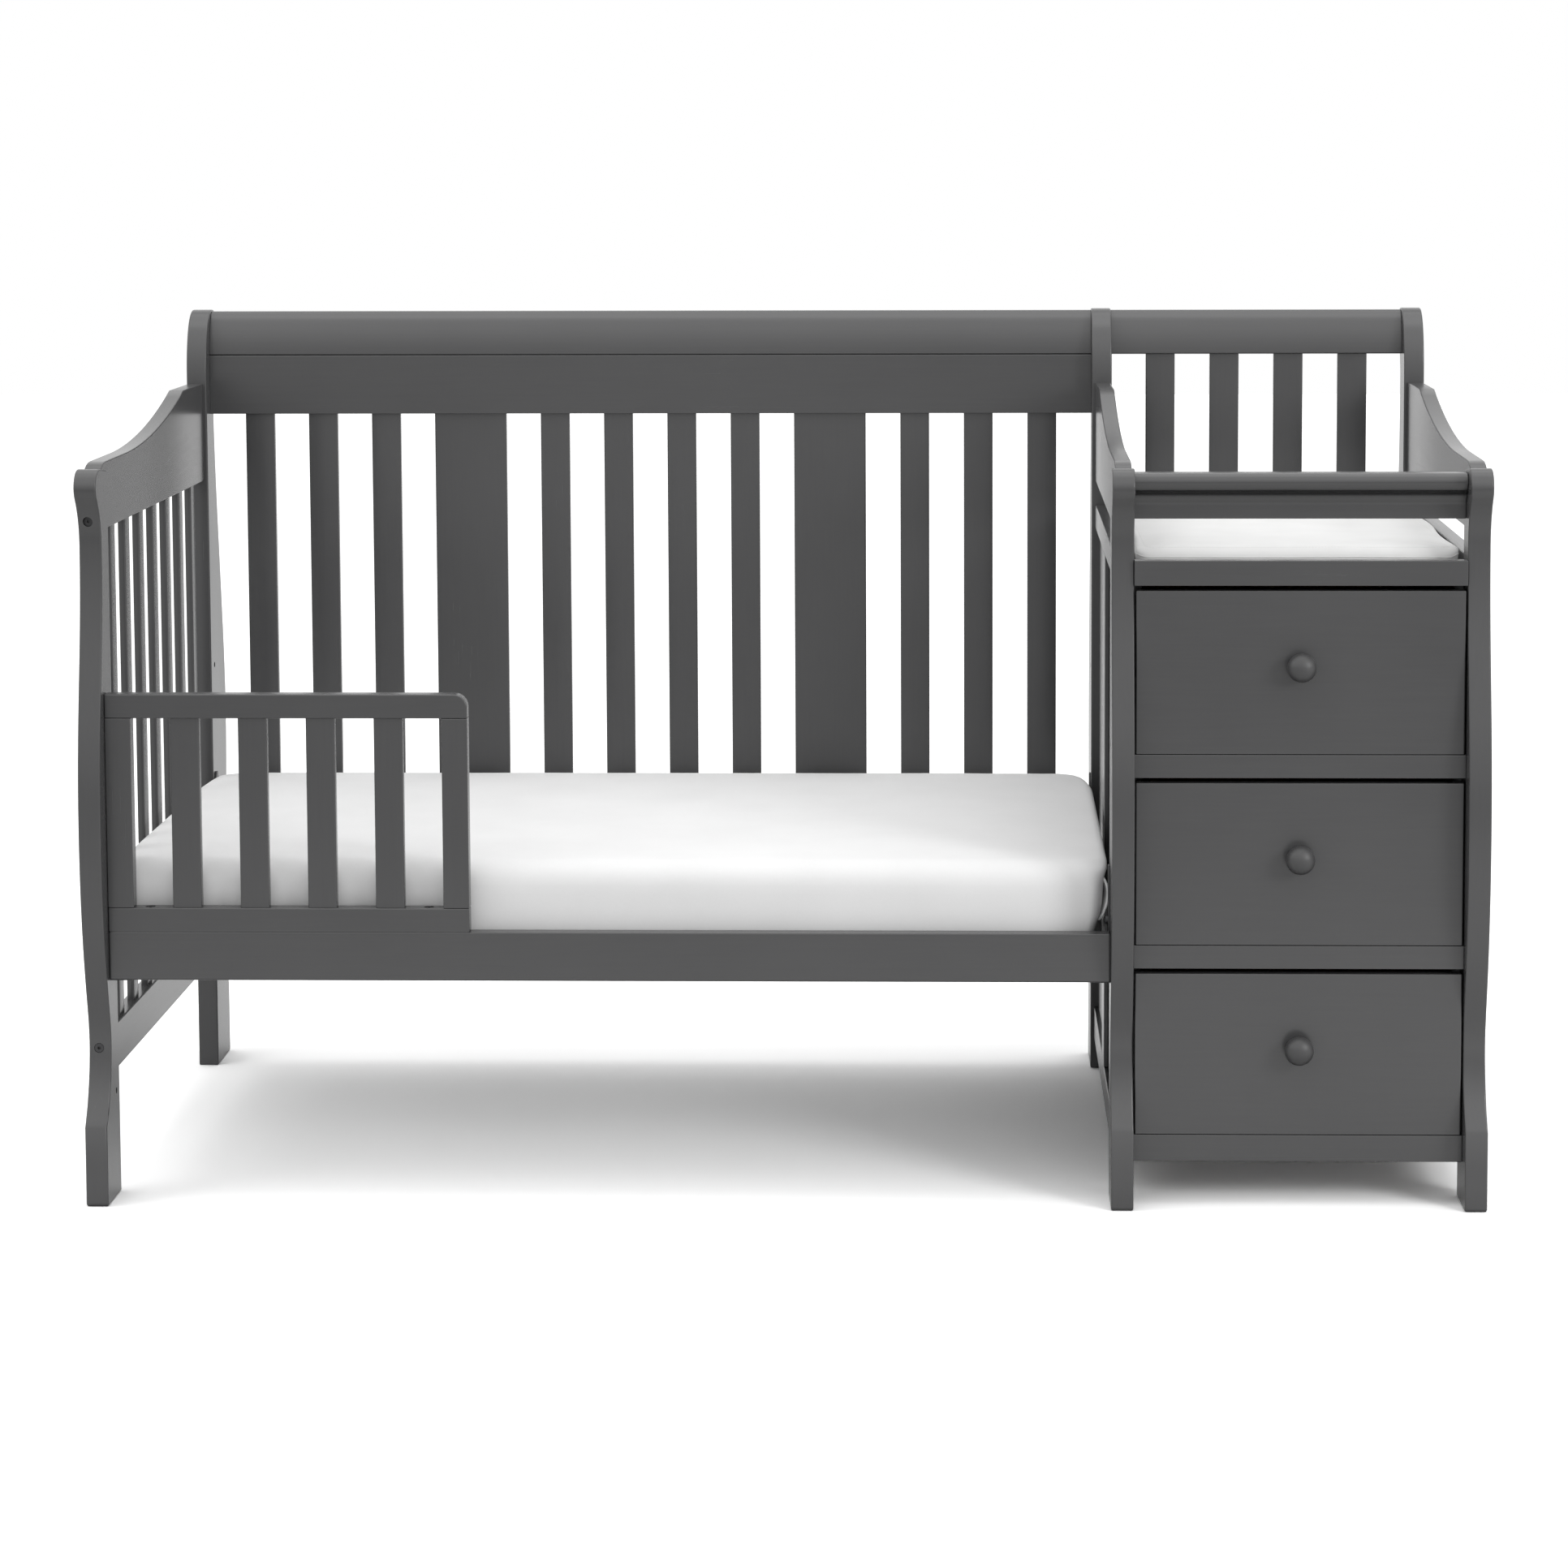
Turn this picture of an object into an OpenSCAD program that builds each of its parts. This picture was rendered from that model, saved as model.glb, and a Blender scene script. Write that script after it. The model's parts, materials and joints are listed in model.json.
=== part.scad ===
// Sleigh-style convertible crib with an attached three-drawer changer.
// Millimetres. X runs across the width, Y from front to back, Z up.
// Every module below is laid out from the left outer face (x), the front-most
// plane (y) and the floor (z); placed() moves it to the part's own origin,
// the middle of the footprint on the floor.

/* [Overall] */
// Clear width between the crib's left and middle posts
crib_clear = 1319.5; // [1250:0.5:1400]
// Clear width between the changer's two posts
changer_clear = 432; // [380:0.5:520]
// Clear depth between the front and rear posts
end_span = 659.5; // [600:0.5:720]
// Thickness of the boards that the posts are cut from
post_t = 29.5; // [26:0.5:34]

/* [Front posts] */
// Depth of the front foot
front_foot_depth = 79; // [74:0.5:90]
// Height of the top of the front posts
front_post_h = 974; // [950:1:1000]
// Depth that the front neck stands back from the foot
front_neck_in = 36.5; // [30:0.5:38]
// How far the front belly stands out past the foot
front_belly_out = 2; // [1:0.5:8]
// Height of the fullest point of the front belly
front_belly_z = 500; // [470:1:540]

/* [Rear posts] */
// Depth of the rear foot
rear_foot_depth = 94; // [88:0.5:110]
// Height of the top of the rear posts
rear_post_h = 1143; // [1120:1:1180]
// Depth that the rear neck stands forward of the foot's rear edge
rear_neck_in = 43.5; // [36:0.5:46]
// How far the rear belly stands out past the foot
rear_belly_out = 12.5; // [6:0.5:16]
// Height of the fullest point of the rear belly
rear_belly_z = 530; // [500:1:560]
// Depth that the front edge of a rear post rolls back at its top
roll_back = 53.5; // [45:0.5:56]
// Height that the roll at the top of a rear post takes up
roll_h = 98; // [80:1:120]

/* [Foot and scroll of every post] */
// Height of the straight foot
foot_h = 106; // [95:1:120]
// Depth of the scoop above the foot
scoop_in = 34.5; // [28:0.5:36]
// Height of the deepest point of the scoop
scoop_z = 213; // [200:1:230]
// Radius of the rounded nose at the top of a post
nose_r = 24; // [20:0.5:26]
// Distance of the nose's tip behind the foot's face
nose_in = 10; // [6:0.5:14]
// Radius of the hollow under the nose
hollow_r = 98; // [85:1:115]

/* [End panels] */
// Thickness of the end panels' rails
rail_t = 22; // [18:0.5:24]
// Distance of a rail's face behind the post's outer face
rail_inset = 2.25; // [1:0.25:3.5]
// Distance of the top rails' lower edge below the front posts' top
top_rail_drop = 84; // [75:1:95]
// Height of a top rail at its low front end
top_rail_front_h = 89; // [80:1:98]
// Height of a top rail where it meets the rear post
top_rail_rear_h = 145.5; // [130:0.5:155]
// Length of the level stretch at the front of the top rail
low_level = 121; // [90:1:150]
// Length of the level stretch beside the rear post
high_level = 138; // [100:1:170]
// Radius of the front upper corner of the top rail
front_corner_r = 11; // [6:0.5:16]
// Height of the lower edge of the left panel's bottom rail
bottom_rail_z = 163; // [150:1:180]
// Height of the left panel's bottom rail
bottom_rail_h = 61; // [50:1:75]
// Width of an end slat
end_slat_w = 29; // [24:0.5:36]
// Thickness of an end slat
end_slat_t = 10; // [8:0.5:14]
// Number of end slats
end_slats = 7; // [6:1:8]
// Gap between the last end slat and the rear post
end_last_gap = 44.2; // [40:0.1:60]

/* [Changer panels] */
// Height of the open slot between the top rail and the rail at table height
panel_slot = 36; // [30:1:42]
// Height of the rail at table height
table_rail_h = 34; // [28:1:40]
// Height of the lower edge of the foot rail
foot_rail_z = 50; // [40:1:60]
// Height of the foot rail
foot_rail_h = 45; // [38:1:55]
// Width of the centre stile
mullion_w = 68; // [50:1:90]
// Thickness of the sunk panels
sunk_panel_t = 9; // [6:0.5:12]
// Depth that a sunk panel's edge sits in its grooves
groove_depth = 8; // [5:0.5:10]

/* [Crib back] */
// Distance of the back panel's face behind the rear posts' front face
back_inset = 28; // [20:0.5:30]
// Thickness of the back rails
back_rail_t = 22; // [18:0.5:24]
// Height of a crown rail and the drop above it, down from the post tops
crown_h = 67; // [60:1:75]
// Drop of the crown rails' top below the post tops
crown_drop = 2.5; // [1:0.5:8]
// Height of the flat board under the crib's crown rail
back_board_h = 88; // [70:1:110]
// Width of the narrow back slats
narrow_slat_w = 43.2; // [36:0.1:50]
// Width of the two wide back slats
wide_slat_w = 107.3; // [90:0.1:120]
// Thickness of the back slats
back_slat_t = 12; // [10:0.5:16]
// Height of the rail under the changer's back slats
changer_back_rail_h = 60; // [45:1:70]

/* [Front rail and toddler guard] */
// Distance of the flush front parts behind the foot's face
front_inset = 30; // [26:0.5:34]
// Height of the lower edge of the stabiliser rail
stabiliser_z = 297; // [280:1:320]
// Height of the stabiliser rail
stabiliser_h = 65; // [55:1:80]
// Thickness of the stabiliser rail
stabiliser_t = 22; // [18:0.5:24]
// Width of the toddler guard
guard_w = 477; // [440:1:560]
// Height of the toddler guard
guard_h = 316; // [280:1:340]
// Thickness of the guard's rails and stiles
guard_t = 20; // [18:0.5:22]
// Height of the guard's top and bottom rails
guard_rail_h = 32; // [28:0.5:38]
// Width of the guard's stiles
guard_stile_w = 34; // [30:0.5:40]
// Width of the guard's slats
guard_slat_w = 37.9; // [32:0.1:42]
// Thickness of the guard's slats
guard_slat_t = 14; // [10:0.5:16]
// Number of the guard's slats
guard_slats = 4; // [4:1:5]
// Radius of the guard's free corner
guard_corner_r = 18; // [12:0.5:24]
// Distance of the guard's bolts from its ends
guard_bolt_in = 54.3; // [50:0.1:60]

/* [Mattress and its support] */
// Height of the underside of the mattress
mattress_z = 308.3; // [298:0.1:310]
// Thickness of the mattress
mattress_h = 141; // [120:1:152]
// Gap between the mattress and the posts at each end
mattress_end_gap = 2.5; // [2:0.5:8]
// Gap between the mattress and the rails at front and back
mattress_side_gap = 4; // [3:0.5:8]
// Radius of the mattress corners
mattress_corner_r = 60; // [50:1:75]
// Width of the support frame's angle bars
support_bar = 22; // [18:0.5:26]
// Height of the support frame's angle bars
support_bar_h = 14; // [12:0.5:20]
// Gauge of the support frame and of its hangers
support_gauge = 2.5; // [2:0.1:3]
// Thickness of the deck wires
wire_d = 3.6; // [3:0.1:5]
// Number of deck wires along the crib
long_wires = 7; // [5:1:9]
// Number of deck wires across the crib
cross_wires = 11; // [8:1:13]
// Width of a corner hanger
hanger_w = 25; // [20:1:25]
// Height of a hanger's upper end above its bolt
hanger_over = 72; // [40:0.5:80]
// Spacing of the hanger holes in the posts
hole_pitch = 234; // [228:1:240]
// Height of the lowest hanger hole
hole_z = 141; // [135:1:150]
// Diameter of the hanger holes
hole_d = 8; // [6.5:0.5:10]

/* [Cabinet] */
// Thickness of the cabinet's front rails
cabinet_rail_t = 18; // [16:0.5:20]
// Height of the two divider rails
divider_h = 31; // [26:0.5:36]
// Thickness of the cabinet's side boards
side_board_t = 12; // [10:0.5:15]
// Thickness of the changing shelf
shelf_t = 12; // [9:0.5:15]
// Thickness of the cabinet's back
cabinet_back_t = 5; // [3:0.5:8]
// Gap between the cabinet's top and the front guard rail
table_guard_gap = 52; // [45:1:60]
// Height of the front guard rail
table_guard_h = 65; // [55:1:72]
// Thickness of the front guard rail at its foot
table_guard_t = 22; // [18:0.5:24]
// Height of the base rail's lower edge
base_rail_z = 59; // [52:1:70]
// Height of the base rail
base_rail_h = 35.5; // [30:0.5:45]

/* [Drawers] */
// Height of the rail above the drawers
cabinet_top_h = 33; // [28:0.5:40]
// Gap above each drawer front
drawer_top_gap = 6.5; // [3:0.5:8]
// Gap beside each drawer front
drawer_side_gap = 2.5; // [2:0.5:4]
// Thickness of a drawer front
drawer_front_t = 18; // [16:0.5:20]
// Thickness of the drawer box's boards
box_t = 12; // [10:0.5:14]
// Height of the drawer box's sides
box_h = 150; // [120:1:170]
// Depth of the drawer box behind its front
box_depth = 600; // [450:1:640]
// Thickness of the drawer bottom
bottom_t = 4; // [3:0.5:6]
// Height of the drawer bottom above the lower edge of the sides
bottom_rise = 10; // [8:0.5:14]
// Width that a pair of runner members takes up beside the box
runner_space = 12.7; // [12:0.1:13.5]
// Height of the fixed runner member
runner_h = 42; // [35:0.5:48]
// Diameter of the ball knobs
knob_d = 38; // [28:0.5:42]
// Diameter of the knob's neck
knob_neck_d = 16; // [12:0.5:20]
// Height of the knob above the middle of the drawer front
knob_rise = 9; // [0:0.5:14]

/* [Changing pad] */
// Thickness of the changing pad
pad_h = 34; // [25:0.5:45]
// Gap around the changing pad
pad_gap = 6; // [4:0.5:10]
// Radius of the pad's corners
pad_corner_r = 24; // [15:0.5:30]

/* [Fixings] */
// Diameter of the bolt heads
bolt_head_d = 12; // [10:0.5:14]
// Diameter of the bolt shanks
bolt_d = 6; // [5:0.5:7]
// Size of the hexagon socket across its flats
socket_af = 4; // [3:0.5:5]
// Diameter of the barrel nuts
nut_d = 10; // [8:0.5:11]

/* [Hidden] */
$fn = 48;
clear = 0.3;                 // running and seating clearance
curve_steps = 14;            // points along one blend of a post's outline
overall_w = 3 * post_t + crib_clear + changer_clear;
front_foot_y = front_belly_out;
front_post_rear_y = front_foot_y + front_foot_depth;
rear_post_y = front_post_rear_y + end_span;
rear_foot_y = rear_post_y + rear_foot_depth;
overall_d = rear_foot_y + rear_belly_out;
left_x = post_t;                              // inner face of the left posts
middle_x = post_t + crib_clear;               // left face of the middle posts
changer_x = middle_x + post_t;                // right face of the middle posts
right_x = changer_x + changer_clear;          // left face of the right posts
front_y = front_foot_y + front_inset;         // face of the flush front parts
back_y = rear_post_y + back_inset;            // face of the back rails
back_slat_y = back_y + (back_rail_t - back_slat_t) / 2;
crown_z = rear_post_h - crown_h;              // lower edge of the crown rails
back_board_z = crown_z - back_board_h;
top_rail_z = front_post_h - top_rail_drop;    // lower edge of the top rails
table_z = top_rail_z - panel_slot;            // top of the rails at table height
table_rail_z = table_z - table_rail_h;
table_guard_z = table_z + table_guard_gap;
base_top = base_rail_z + base_rail_h;
drawer_w = changer_clear - 2 * drawer_side_gap;
drawer_low_gap = 0.5;                         // between a drawer front and the rail below
drawer_bay_h = (table_z - cabinet_top_h - base_top - 2 * divider_h) / 3;
drawer_front_h = drawer_bay_h - drawer_top_gap - drawer_low_gap;
bay_z = [for (i = [0:2]) base_top + i * (drawer_bay_h + divider_h)];
stabiliser_top = stabiliser_z + stabiliser_h;
guard_x = left_x + 0.5;
left_rail_x = rail_inset;
middle_rail_x = changer_x - rail_inset - rail_t;
right_rail_x = overall_w - rail_inset - rail_t;
hanger_front_y = front_y + stabiliser_t + 1;  // the side nearer its post's outside
hanger_rear_y = back_slat_y - 1.5;
hanger_hole_in = 7;                           // from that side to the hanger's bolt
hole_levels = [for (i = [0:2]) hole_z + i * hole_pitch];
hanger_level = 1;                             // the row of holes that the hangers hang in
bolt_head_h = 7;
bolt_len = 70;
nut_reach = 22;                               // from a rail's end to its barrel nuts
nut_skin = 4;                                 // wood left between a nut and the crib
frame_bolt_z = [bottom_rail_z + 42, top_rail_z + 15];
panel_bolt_z = [bottom_rail_z + bottom_rail_h / 2, crown_z - back_board_h / 2];
stabiliser_bolt_z = stabiliser_z + stabiliser_h / 2;
end_slat_gap = (end_span - end_last_gap) / end_slats - end_slat_w;

// ---- helpers -------------------------------------------------------------

module placed() {
    translate([-overall_w / 2, -overall_d / 2, 0]) children();
}

module paint() { color("#5b5b5d") children(); }
module inner_wood() { color("#b99d78") children(); }
module steel() { color("#a9abad") children(); }
module black_steel() { color("#2b2b2c") children(); }

// A board cut to an outline of [y, z] points, standing across x.
module side_board(points, x, thickness) {
    translate([x, 0, 0])
        rotate([90, 0, 90])
            linear_extrude(thickness)
                polygon(points);
}

// A rectangular board from its lowest corner.
module board(x, y, z, w, d, h) {
    translate([x, y, z]) cube([w, d, h]);
}

// Points of a cubic curve, its start left out.
function curve(a, b, c, d, steps = curve_steps) = [
    for (i = [1:steps])
        let (t = i / steps, s = 1 - t)
            s * s * s * a + 3 * s * s * t * b + 3 * s * t * t * c + t * t * t * d
];

// Points of an arc from one angle to another, both ends kept.
function arc(centre, r, from, to, steps = 10) = [
    for (i = [0:steps])
        let (a = from + (to - from) * i / steps)
            centre + r * [cos(a), sin(a)]
];

// ---- posts ---------------------------------------------------------------

// The shaped edge of a post from the floor to the top of its nose, as
// [distance behind the foot's face, height] points. The lower blend runs from
// the scoop to the belly and the upper one from the belly to the neck.
scoop_r = (scoop_in * scoop_in + pow(scoop_z - foot_h, 2)) / (2 * scoop_in);
lower_handles = [0.17, 0.62];
function hollow_rise(neck_in) =
    sqrt(pow(hollow_r + nose_r, 2) - pow(hollow_r - neck_in + nose_in + nose_r, 2));
function shaped_edge(belly_out, belly_z, neck_in, top, upper_handles) =
    let (
        nose = [nose_in + nose_r, top - nose_r],
        neck_z = nose[1] - hollow_rise(neck_in),
        hollow = [neck_in - hollow_r, neck_z],
        lift = atan2(nose[1] - hollow[1], nose[0] - hollow[0]),
        low_h = belly_z - scoop_z,
        high_h = neck_z - belly_z
    )
    concat(
        [[3, 0], [0, 3]],
        arc([scoop_in - scoop_r, scoop_z], scoop_r, -asin((scoop_z - foot_h) / scoop_r), 0, 12),
        curve([scoop_in, scoop_z], [scoop_in, scoop_z + lower_handles[0] * low_h],
              [-belly_out, belly_z - lower_handles[1] * low_h], [-belly_out, belly_z]),
        curve([-belly_out, belly_z], [-belly_out, belly_z + upper_handles[0] * high_h],
              [neck_in, neck_z - upper_handles[1] * high_h], [neck_in, neck_z]),
        arc(hollow, hollow_r, lift / 6, lift, 6),
        arc(nose, nose_r, 180 + lift - 15, 90, 10)
    );

// Outline of a front post: shaped edge forward, straight edge at the back.
top_corner_r = 7;
front_outline = concat(
    [for (p = shaped_edge(front_belly_out, front_belly_z, front_neck_in, front_post_h,
                          [0.43, 0.39])) [front_foot_y + p[0], p[1]]],
    arc([front_post_rear_y - top_corner_r, front_post_h - 5 - top_corner_r],
        top_corner_r, 84, 0, 6),
    [[front_post_rear_y, 0]]
);

// The front edge of a rear post where it rolls back, moved back and down.
function roll_edge(back, down, start_z) =
    concat([[rear_post_y + back, start_z]],
           curve([rear_post_y + back, max(start_z, rear_post_h - roll_h)],
                 [rear_post_y + back, rear_post_h - roll_h / 3],
                 [rear_post_y + back + (roll_back - back) / 2, rear_post_h - down],
                 [rear_post_y + roll_back, rear_post_h - down]));

rear_outline = concat(
    [[rear_post_y, 0]],
    roll_edge(0, 0, rear_post_h - roll_h),
    [for (p = reverse(shaped_edge(rear_belly_out, rear_belly_z, rear_neck_in, rear_post_h,
                                  [0.26, 0.33]))) [rear_foot_y - p[0], p[1]]]
);
function reverse(list) = [for (i = [len(list) - 1:-1:0]) list[i]];

// Counterbored hole for a bolt along y that enters from the front or back.
module bolt_hole_y(x, y, z, depth, into) {
    translate([x, y, z])
        rotate([-90 * into, 0, 0]) {
            translate([0, 0, -60]) cylinder(d = bolt_head_d + 1, h = 60 + bolt_head_h);
            cylinder(d = bolt_d + 1, h = depth);
        }
}

// Counterbored hole for a bolt along x, entered on the x side given.
module bolt_hole_x(x, y, z, depth, into) {
    translate([x, y, z])
        rotate([0, 90 * into, 0]) {
            translate([0, 0, -1]) cylinder(d = bolt_head_d + 1, h = bolt_head_h + 1);
            cylinder(d = bolt_d + 1, h = depth);
        }
}

front_hole_y = hanger_front_y + hanger_hole_in;
rear_hole_y = hanger_rear_y - hanger_hole_in;

// Blind holes for the hangers on the crib side of a post.
hanger_hole_depth = 14;
module hanger_holes(x, y, into) {
    for (z = hole_levels)
        translate([x, y, z])
            rotate([0, 90 * into, 0])
                translate([0, 0, -1]) cylinder(d = hole_d, h = hanger_hole_depth + 1);
}

function neck_y(z) = front_foot_y + (z > front_belly_z ? front_neck_in : scoop_in);
back_bolt_y = back_y + back_rail_t / 2;
stabiliser_bolt_y = front_y + stabiliser_t / 2;

module left_front_post() paint() difference() {
    side_board(front_outline, 0, post_t);
    for (z = frame_bolt_z)
        bolt_hole_y(left_rail_x + rail_t / 2, neck_y(z), z, 80, 1);
    hanger_holes(left_x, front_hole_y, -1);
    bolt_hole_x(0, stabiliser_bolt_y, stabiliser_bolt_z, post_t + 1, 1);
}

module left_rear_post() paint() difference() {
    side_board(rear_outline, 0, post_t);
    for (z = frame_bolt_z)
        bolt_hole_y(left_rail_x + rail_t / 2, rear_foot_y - scoop_in, z, 80, -1);
    hanger_holes(left_x, rear_hole_y, -1);
    for (z = panel_bolt_z) bolt_hole_x(0, back_bolt_y, z, post_t + 1, 1);
}

module middle_front_post() paint() difference() {
    side_board(front_outline, middle_x, post_t);
    hanger_holes(middle_x, front_hole_y, 1);
    bolt_hole_x(changer_x, stabiliser_bolt_y, stabiliser_bolt_z, post_t + 1, -1);
}

module middle_rear_post() paint() difference() {
    side_board(rear_outline, middle_x, post_t);
    hanger_holes(middle_x, rear_hole_y, 1);
    for (z = panel_bolt_z) bolt_hole_x(changer_x, back_bolt_y, z, post_t + 1, -1);
}

module right_front_post() paint() side_board(front_outline, right_x, post_t);
module right_rear_post() paint() side_board(rear_outline, right_x, post_t);

// ---- end panels ----------------------------------------------------------

// A top rail: level at the front, a concave sweep up, then level to the post.
sweep_start = front_post_rear_y + low_level;
sweep_end = rear_post_y - high_level;
sweep_rise = top_rail_rear_h - top_rail_front_h;
low_end_z = top_rail_z + top_rail_front_h;
sweep_run = sweep_end - sweep_start;
sweep_r = (sweep_run * sweep_run + sweep_rise * sweep_rise) / (2 * sweep_rise);
sweep_angle = asin(sweep_run / sweep_r);
top_rail_outline = concat(
    [[rear_post_y, top_rail_z], [front_post_rear_y, top_rail_z]],
    arc([front_post_rear_y + front_corner_r, low_end_z - front_corner_r],
        front_corner_r, 180, 90, 6),
    arc([sweep_start, low_end_z + sweep_r], sweep_r, -90, -90 + sweep_angle, 14),
    [[rear_post_y, top_rail_z + top_rail_rear_h]]
);

module end_bolt_bores(x) {
    for (y = [front_post_rear_y, rear_post_y], z = frame_bolt_z)
        translate([x + rail_t / 2, y, z])
            rotate([90, 0, 0]) cylinder(d = bolt_d + 1, h = 2 * bolt_len, center = true);
    for (y = [front_post_rear_y + nut_reach, rear_post_y - nut_reach], z = frame_bolt_z)
        translate([x - 1, y, z])
            rotate([0, 90, 0]) cylinder(d = nut_d + clear, h = rail_t - nut_skin + 1);
}

module end_rail(x, z, h) {
    board(x, front_post_rear_y, z, rail_t, end_span, h);
}

module left_top_rail() paint() difference() {
    side_board(top_rail_outline, left_rail_x, rail_t);
    end_bolt_bores(left_rail_x);
}
module left_bottom_rail() paint() difference() {
    end_rail(left_rail_x, bottom_rail_z, bottom_rail_h);
    end_bolt_bores(left_rail_x);
}
module left_slats() paint() for (i = [0:end_slats - 1])
    board(left_rail_x + (rail_t - end_slat_t) / 2,
          front_post_rear_y + end_slat_gap + i * (end_slat_w + end_slat_gap),
          bottom_rail_z + bottom_rail_h,
          end_slat_t, end_slat_w, top_rail_z - bottom_rail_z - bottom_rail_h);

// The changer's panels: rails and a centre stile grooved for two sunk panels.
sunk_x = (rail_t - sunk_panel_t) / 2;
foot_rail_top = foot_rail_z + foot_rail_h;
field_w = (end_span - mullion_w) / 2;
mullion_y = front_post_rear_y + field_w;

module sunk_panels(x, slack) for (y = [front_post_rear_y, mullion_y + mullion_w])
    board(x + sunk_x - slack / 2,
          y - (y > mullion_y ? groove_depth : 0),
          foot_rail_top - groove_depth,
          sunk_panel_t + slack, field_w + groove_depth,
          table_rail_z - foot_rail_top + 2 * groove_depth);

module changer_rail(x, z, h) difference() {
    end_rail(x, z, h);
    sunk_panels(x, 0);
}
module mullion(x) difference() {
    board(x, mullion_y, foot_rail_top, rail_t, mullion_w, table_rail_z - foot_rail_top);
    sunk_panels(x, 0);
}

module middle_top_rail() paint() side_board(top_rail_outline, middle_rail_x, rail_t);
module middle_table_rail() paint() changer_rail(middle_rail_x, table_rail_z, table_rail_h);
module middle_foot_rail() paint() changer_rail(middle_rail_x, foot_rail_z, foot_rail_h);
module middle_mullion() paint() mullion(middle_rail_x);
module middle_sunk_panels() paint() sunk_panels(middle_rail_x, 0);
module right_top_rail() paint() side_board(top_rail_outline, right_rail_x, rail_t);
module right_table_rail() paint() changer_rail(right_rail_x, table_rail_z, table_rail_h);
module right_foot_rail() paint() changer_rail(right_rail_x, foot_rail_z, foot_rail_h);
module right_mullion() paint() mullion(right_rail_x);
module right_sunk_panels() paint() sunk_panels(right_rail_x, 0);

// ---- back ----------------------------------------------------------------

// A crown rail follows the roll of the rear posts, set back from their face.
// Its lower front edge is chamfered, and leaves a V line above the board.
crown_top = rear_post_h - crown_drop;
v_line = 1.3;
crown_outline = concat(
    [[back_y + v_line, crown_z]],
    roll_edge(back_inset, crown_drop, crown_z + v_line),
    arc([rear_post_y + roll_back + 6, crown_top - 9], 9, 90, -60, 8),
    curve([rear_post_y + roll_back + 8, crown_top - 20],
          [back_y + back_rail_t + 2, crown_top - 24],
          [back_y + back_rail_t, crown_top - 34], [back_y + back_rail_t, crown_z + 12], 8),
    [[back_y + back_rail_t, crown_z]]
);

module back_rail(x, z, w, h) {
    board(x, back_y, z, w, back_rail_t, h);
}
module back_bolt_bores(z) for (x = [left_x, middle_x])
    translate([x, back_bolt_y, z])
        rotate([0, 90, 0]) cylinder(d = bolt_d + 1, h = 2 * bolt_len, center = true);

module crib_crown_rail() paint() side_board(crown_outline, left_x, crib_clear);
module crib_back_board() paint() difference() {
    side_board([[back_y, back_board_z], [back_y + back_rail_t, back_board_z],
                [back_y + back_rail_t, crown_z], [back_y + v_line, crown_z],
                [back_y, crown_z - v_line]], left_x, crib_clear);
    back_bolt_bores(panel_bolt_z[1]);
}
module crib_back_bottom_rail() paint() difference() {
    back_rail(left_x, bottom_rail_z, crib_clear, bottom_rail_h);
    back_bolt_bores(panel_bolt_z[0]);
}

// Three narrow slats, a wide one, four narrow ones, a wide one, three narrow.
slat_widths = [for (i = [0:11]) (i == 3 || i == 8) ? wide_slat_w : narrow_slat_w];
function total(list, n) = n == 0 ? 0 : list[n - 1] + total(list, n - 1);
back_slat_gap = (crib_clear - total(slat_widths, len(slat_widths))) / (len(slat_widths) + 1);
module crib_back_slats() paint() for (i = [0:len(slat_widths) - 1])
    board(left_x + (i + 1) * back_slat_gap + total(slat_widths, i), back_slat_y,
          bottom_rail_z + bottom_rail_h, slat_widths[i], back_slat_t,
          back_board_z - bottom_rail_z - bottom_rail_h);

changer_slats = 4;
changer_slat_gap = (changer_clear - changer_slats * narrow_slat_w) / (changer_slats + 1);
changer_back_top = table_rail_z + changer_back_rail_h;
module changer_crown_rail() paint() side_board(crown_outline, changer_x, changer_clear);
module changer_back_rail() paint()
    back_rail(changer_x, table_rail_z, changer_clear, changer_back_rail_h);
module changer_back_slats() paint() for (i = [0:changer_slats - 1])
    board(changer_x + changer_slat_gap + i * (narrow_slat_w + changer_slat_gap),
          back_slat_y, changer_back_top, narrow_slat_w, back_slat_t,
          crown_z - changer_back_top);

// The cabinet's back closes it between the rear posts, under the back rail.
module cabinet_back() paint()
    board(changer_x, back_y, base_rail_z, changer_clear, cabinet_back_t,
          table_rail_z - base_rail_z);

// ---- front rail and toddler guard ----------------------------------------

module stabiliser_rail() paint() difference() {
    board(left_x, front_y, stabiliser_z, crib_clear, stabiliser_t, stabiliser_h);
    for (x = [left_x, middle_x])
        translate([x, stabiliser_bolt_y, stabiliser_bolt_z])
            rotate([0, 90, 0]) cylinder(d = bolt_d + 1, h = 2 * bolt_len, center = true);
    for (x = guard_bolt_x)
        translate([x, front_y + guard_t / 2, stabiliser_top])
            cylinder(d = bolt_d + 1, h = 2 * guard_bolt_reach + 8, center = true);
}

guard_bolt_reach = 22;                        // into the stabiliser rail
guard_bolt_x = [guard_x + guard_bolt_in, guard_x + guard_w - guard_bolt_in];
guard_bolt_sink = bolt_head_h + 1;            // from the foot rail's top to a head's seat
guard_inner_w = guard_w - 2 * guard_stile_w;
guard_slat_gap = (guard_inner_w - guard_slats * guard_slat_w) / (guard_slats + 1);
guard_slat_z = stabiliser_top + guard_rail_h;
guard_slat_h = guard_h - 2 * guard_rail_h;

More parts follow.
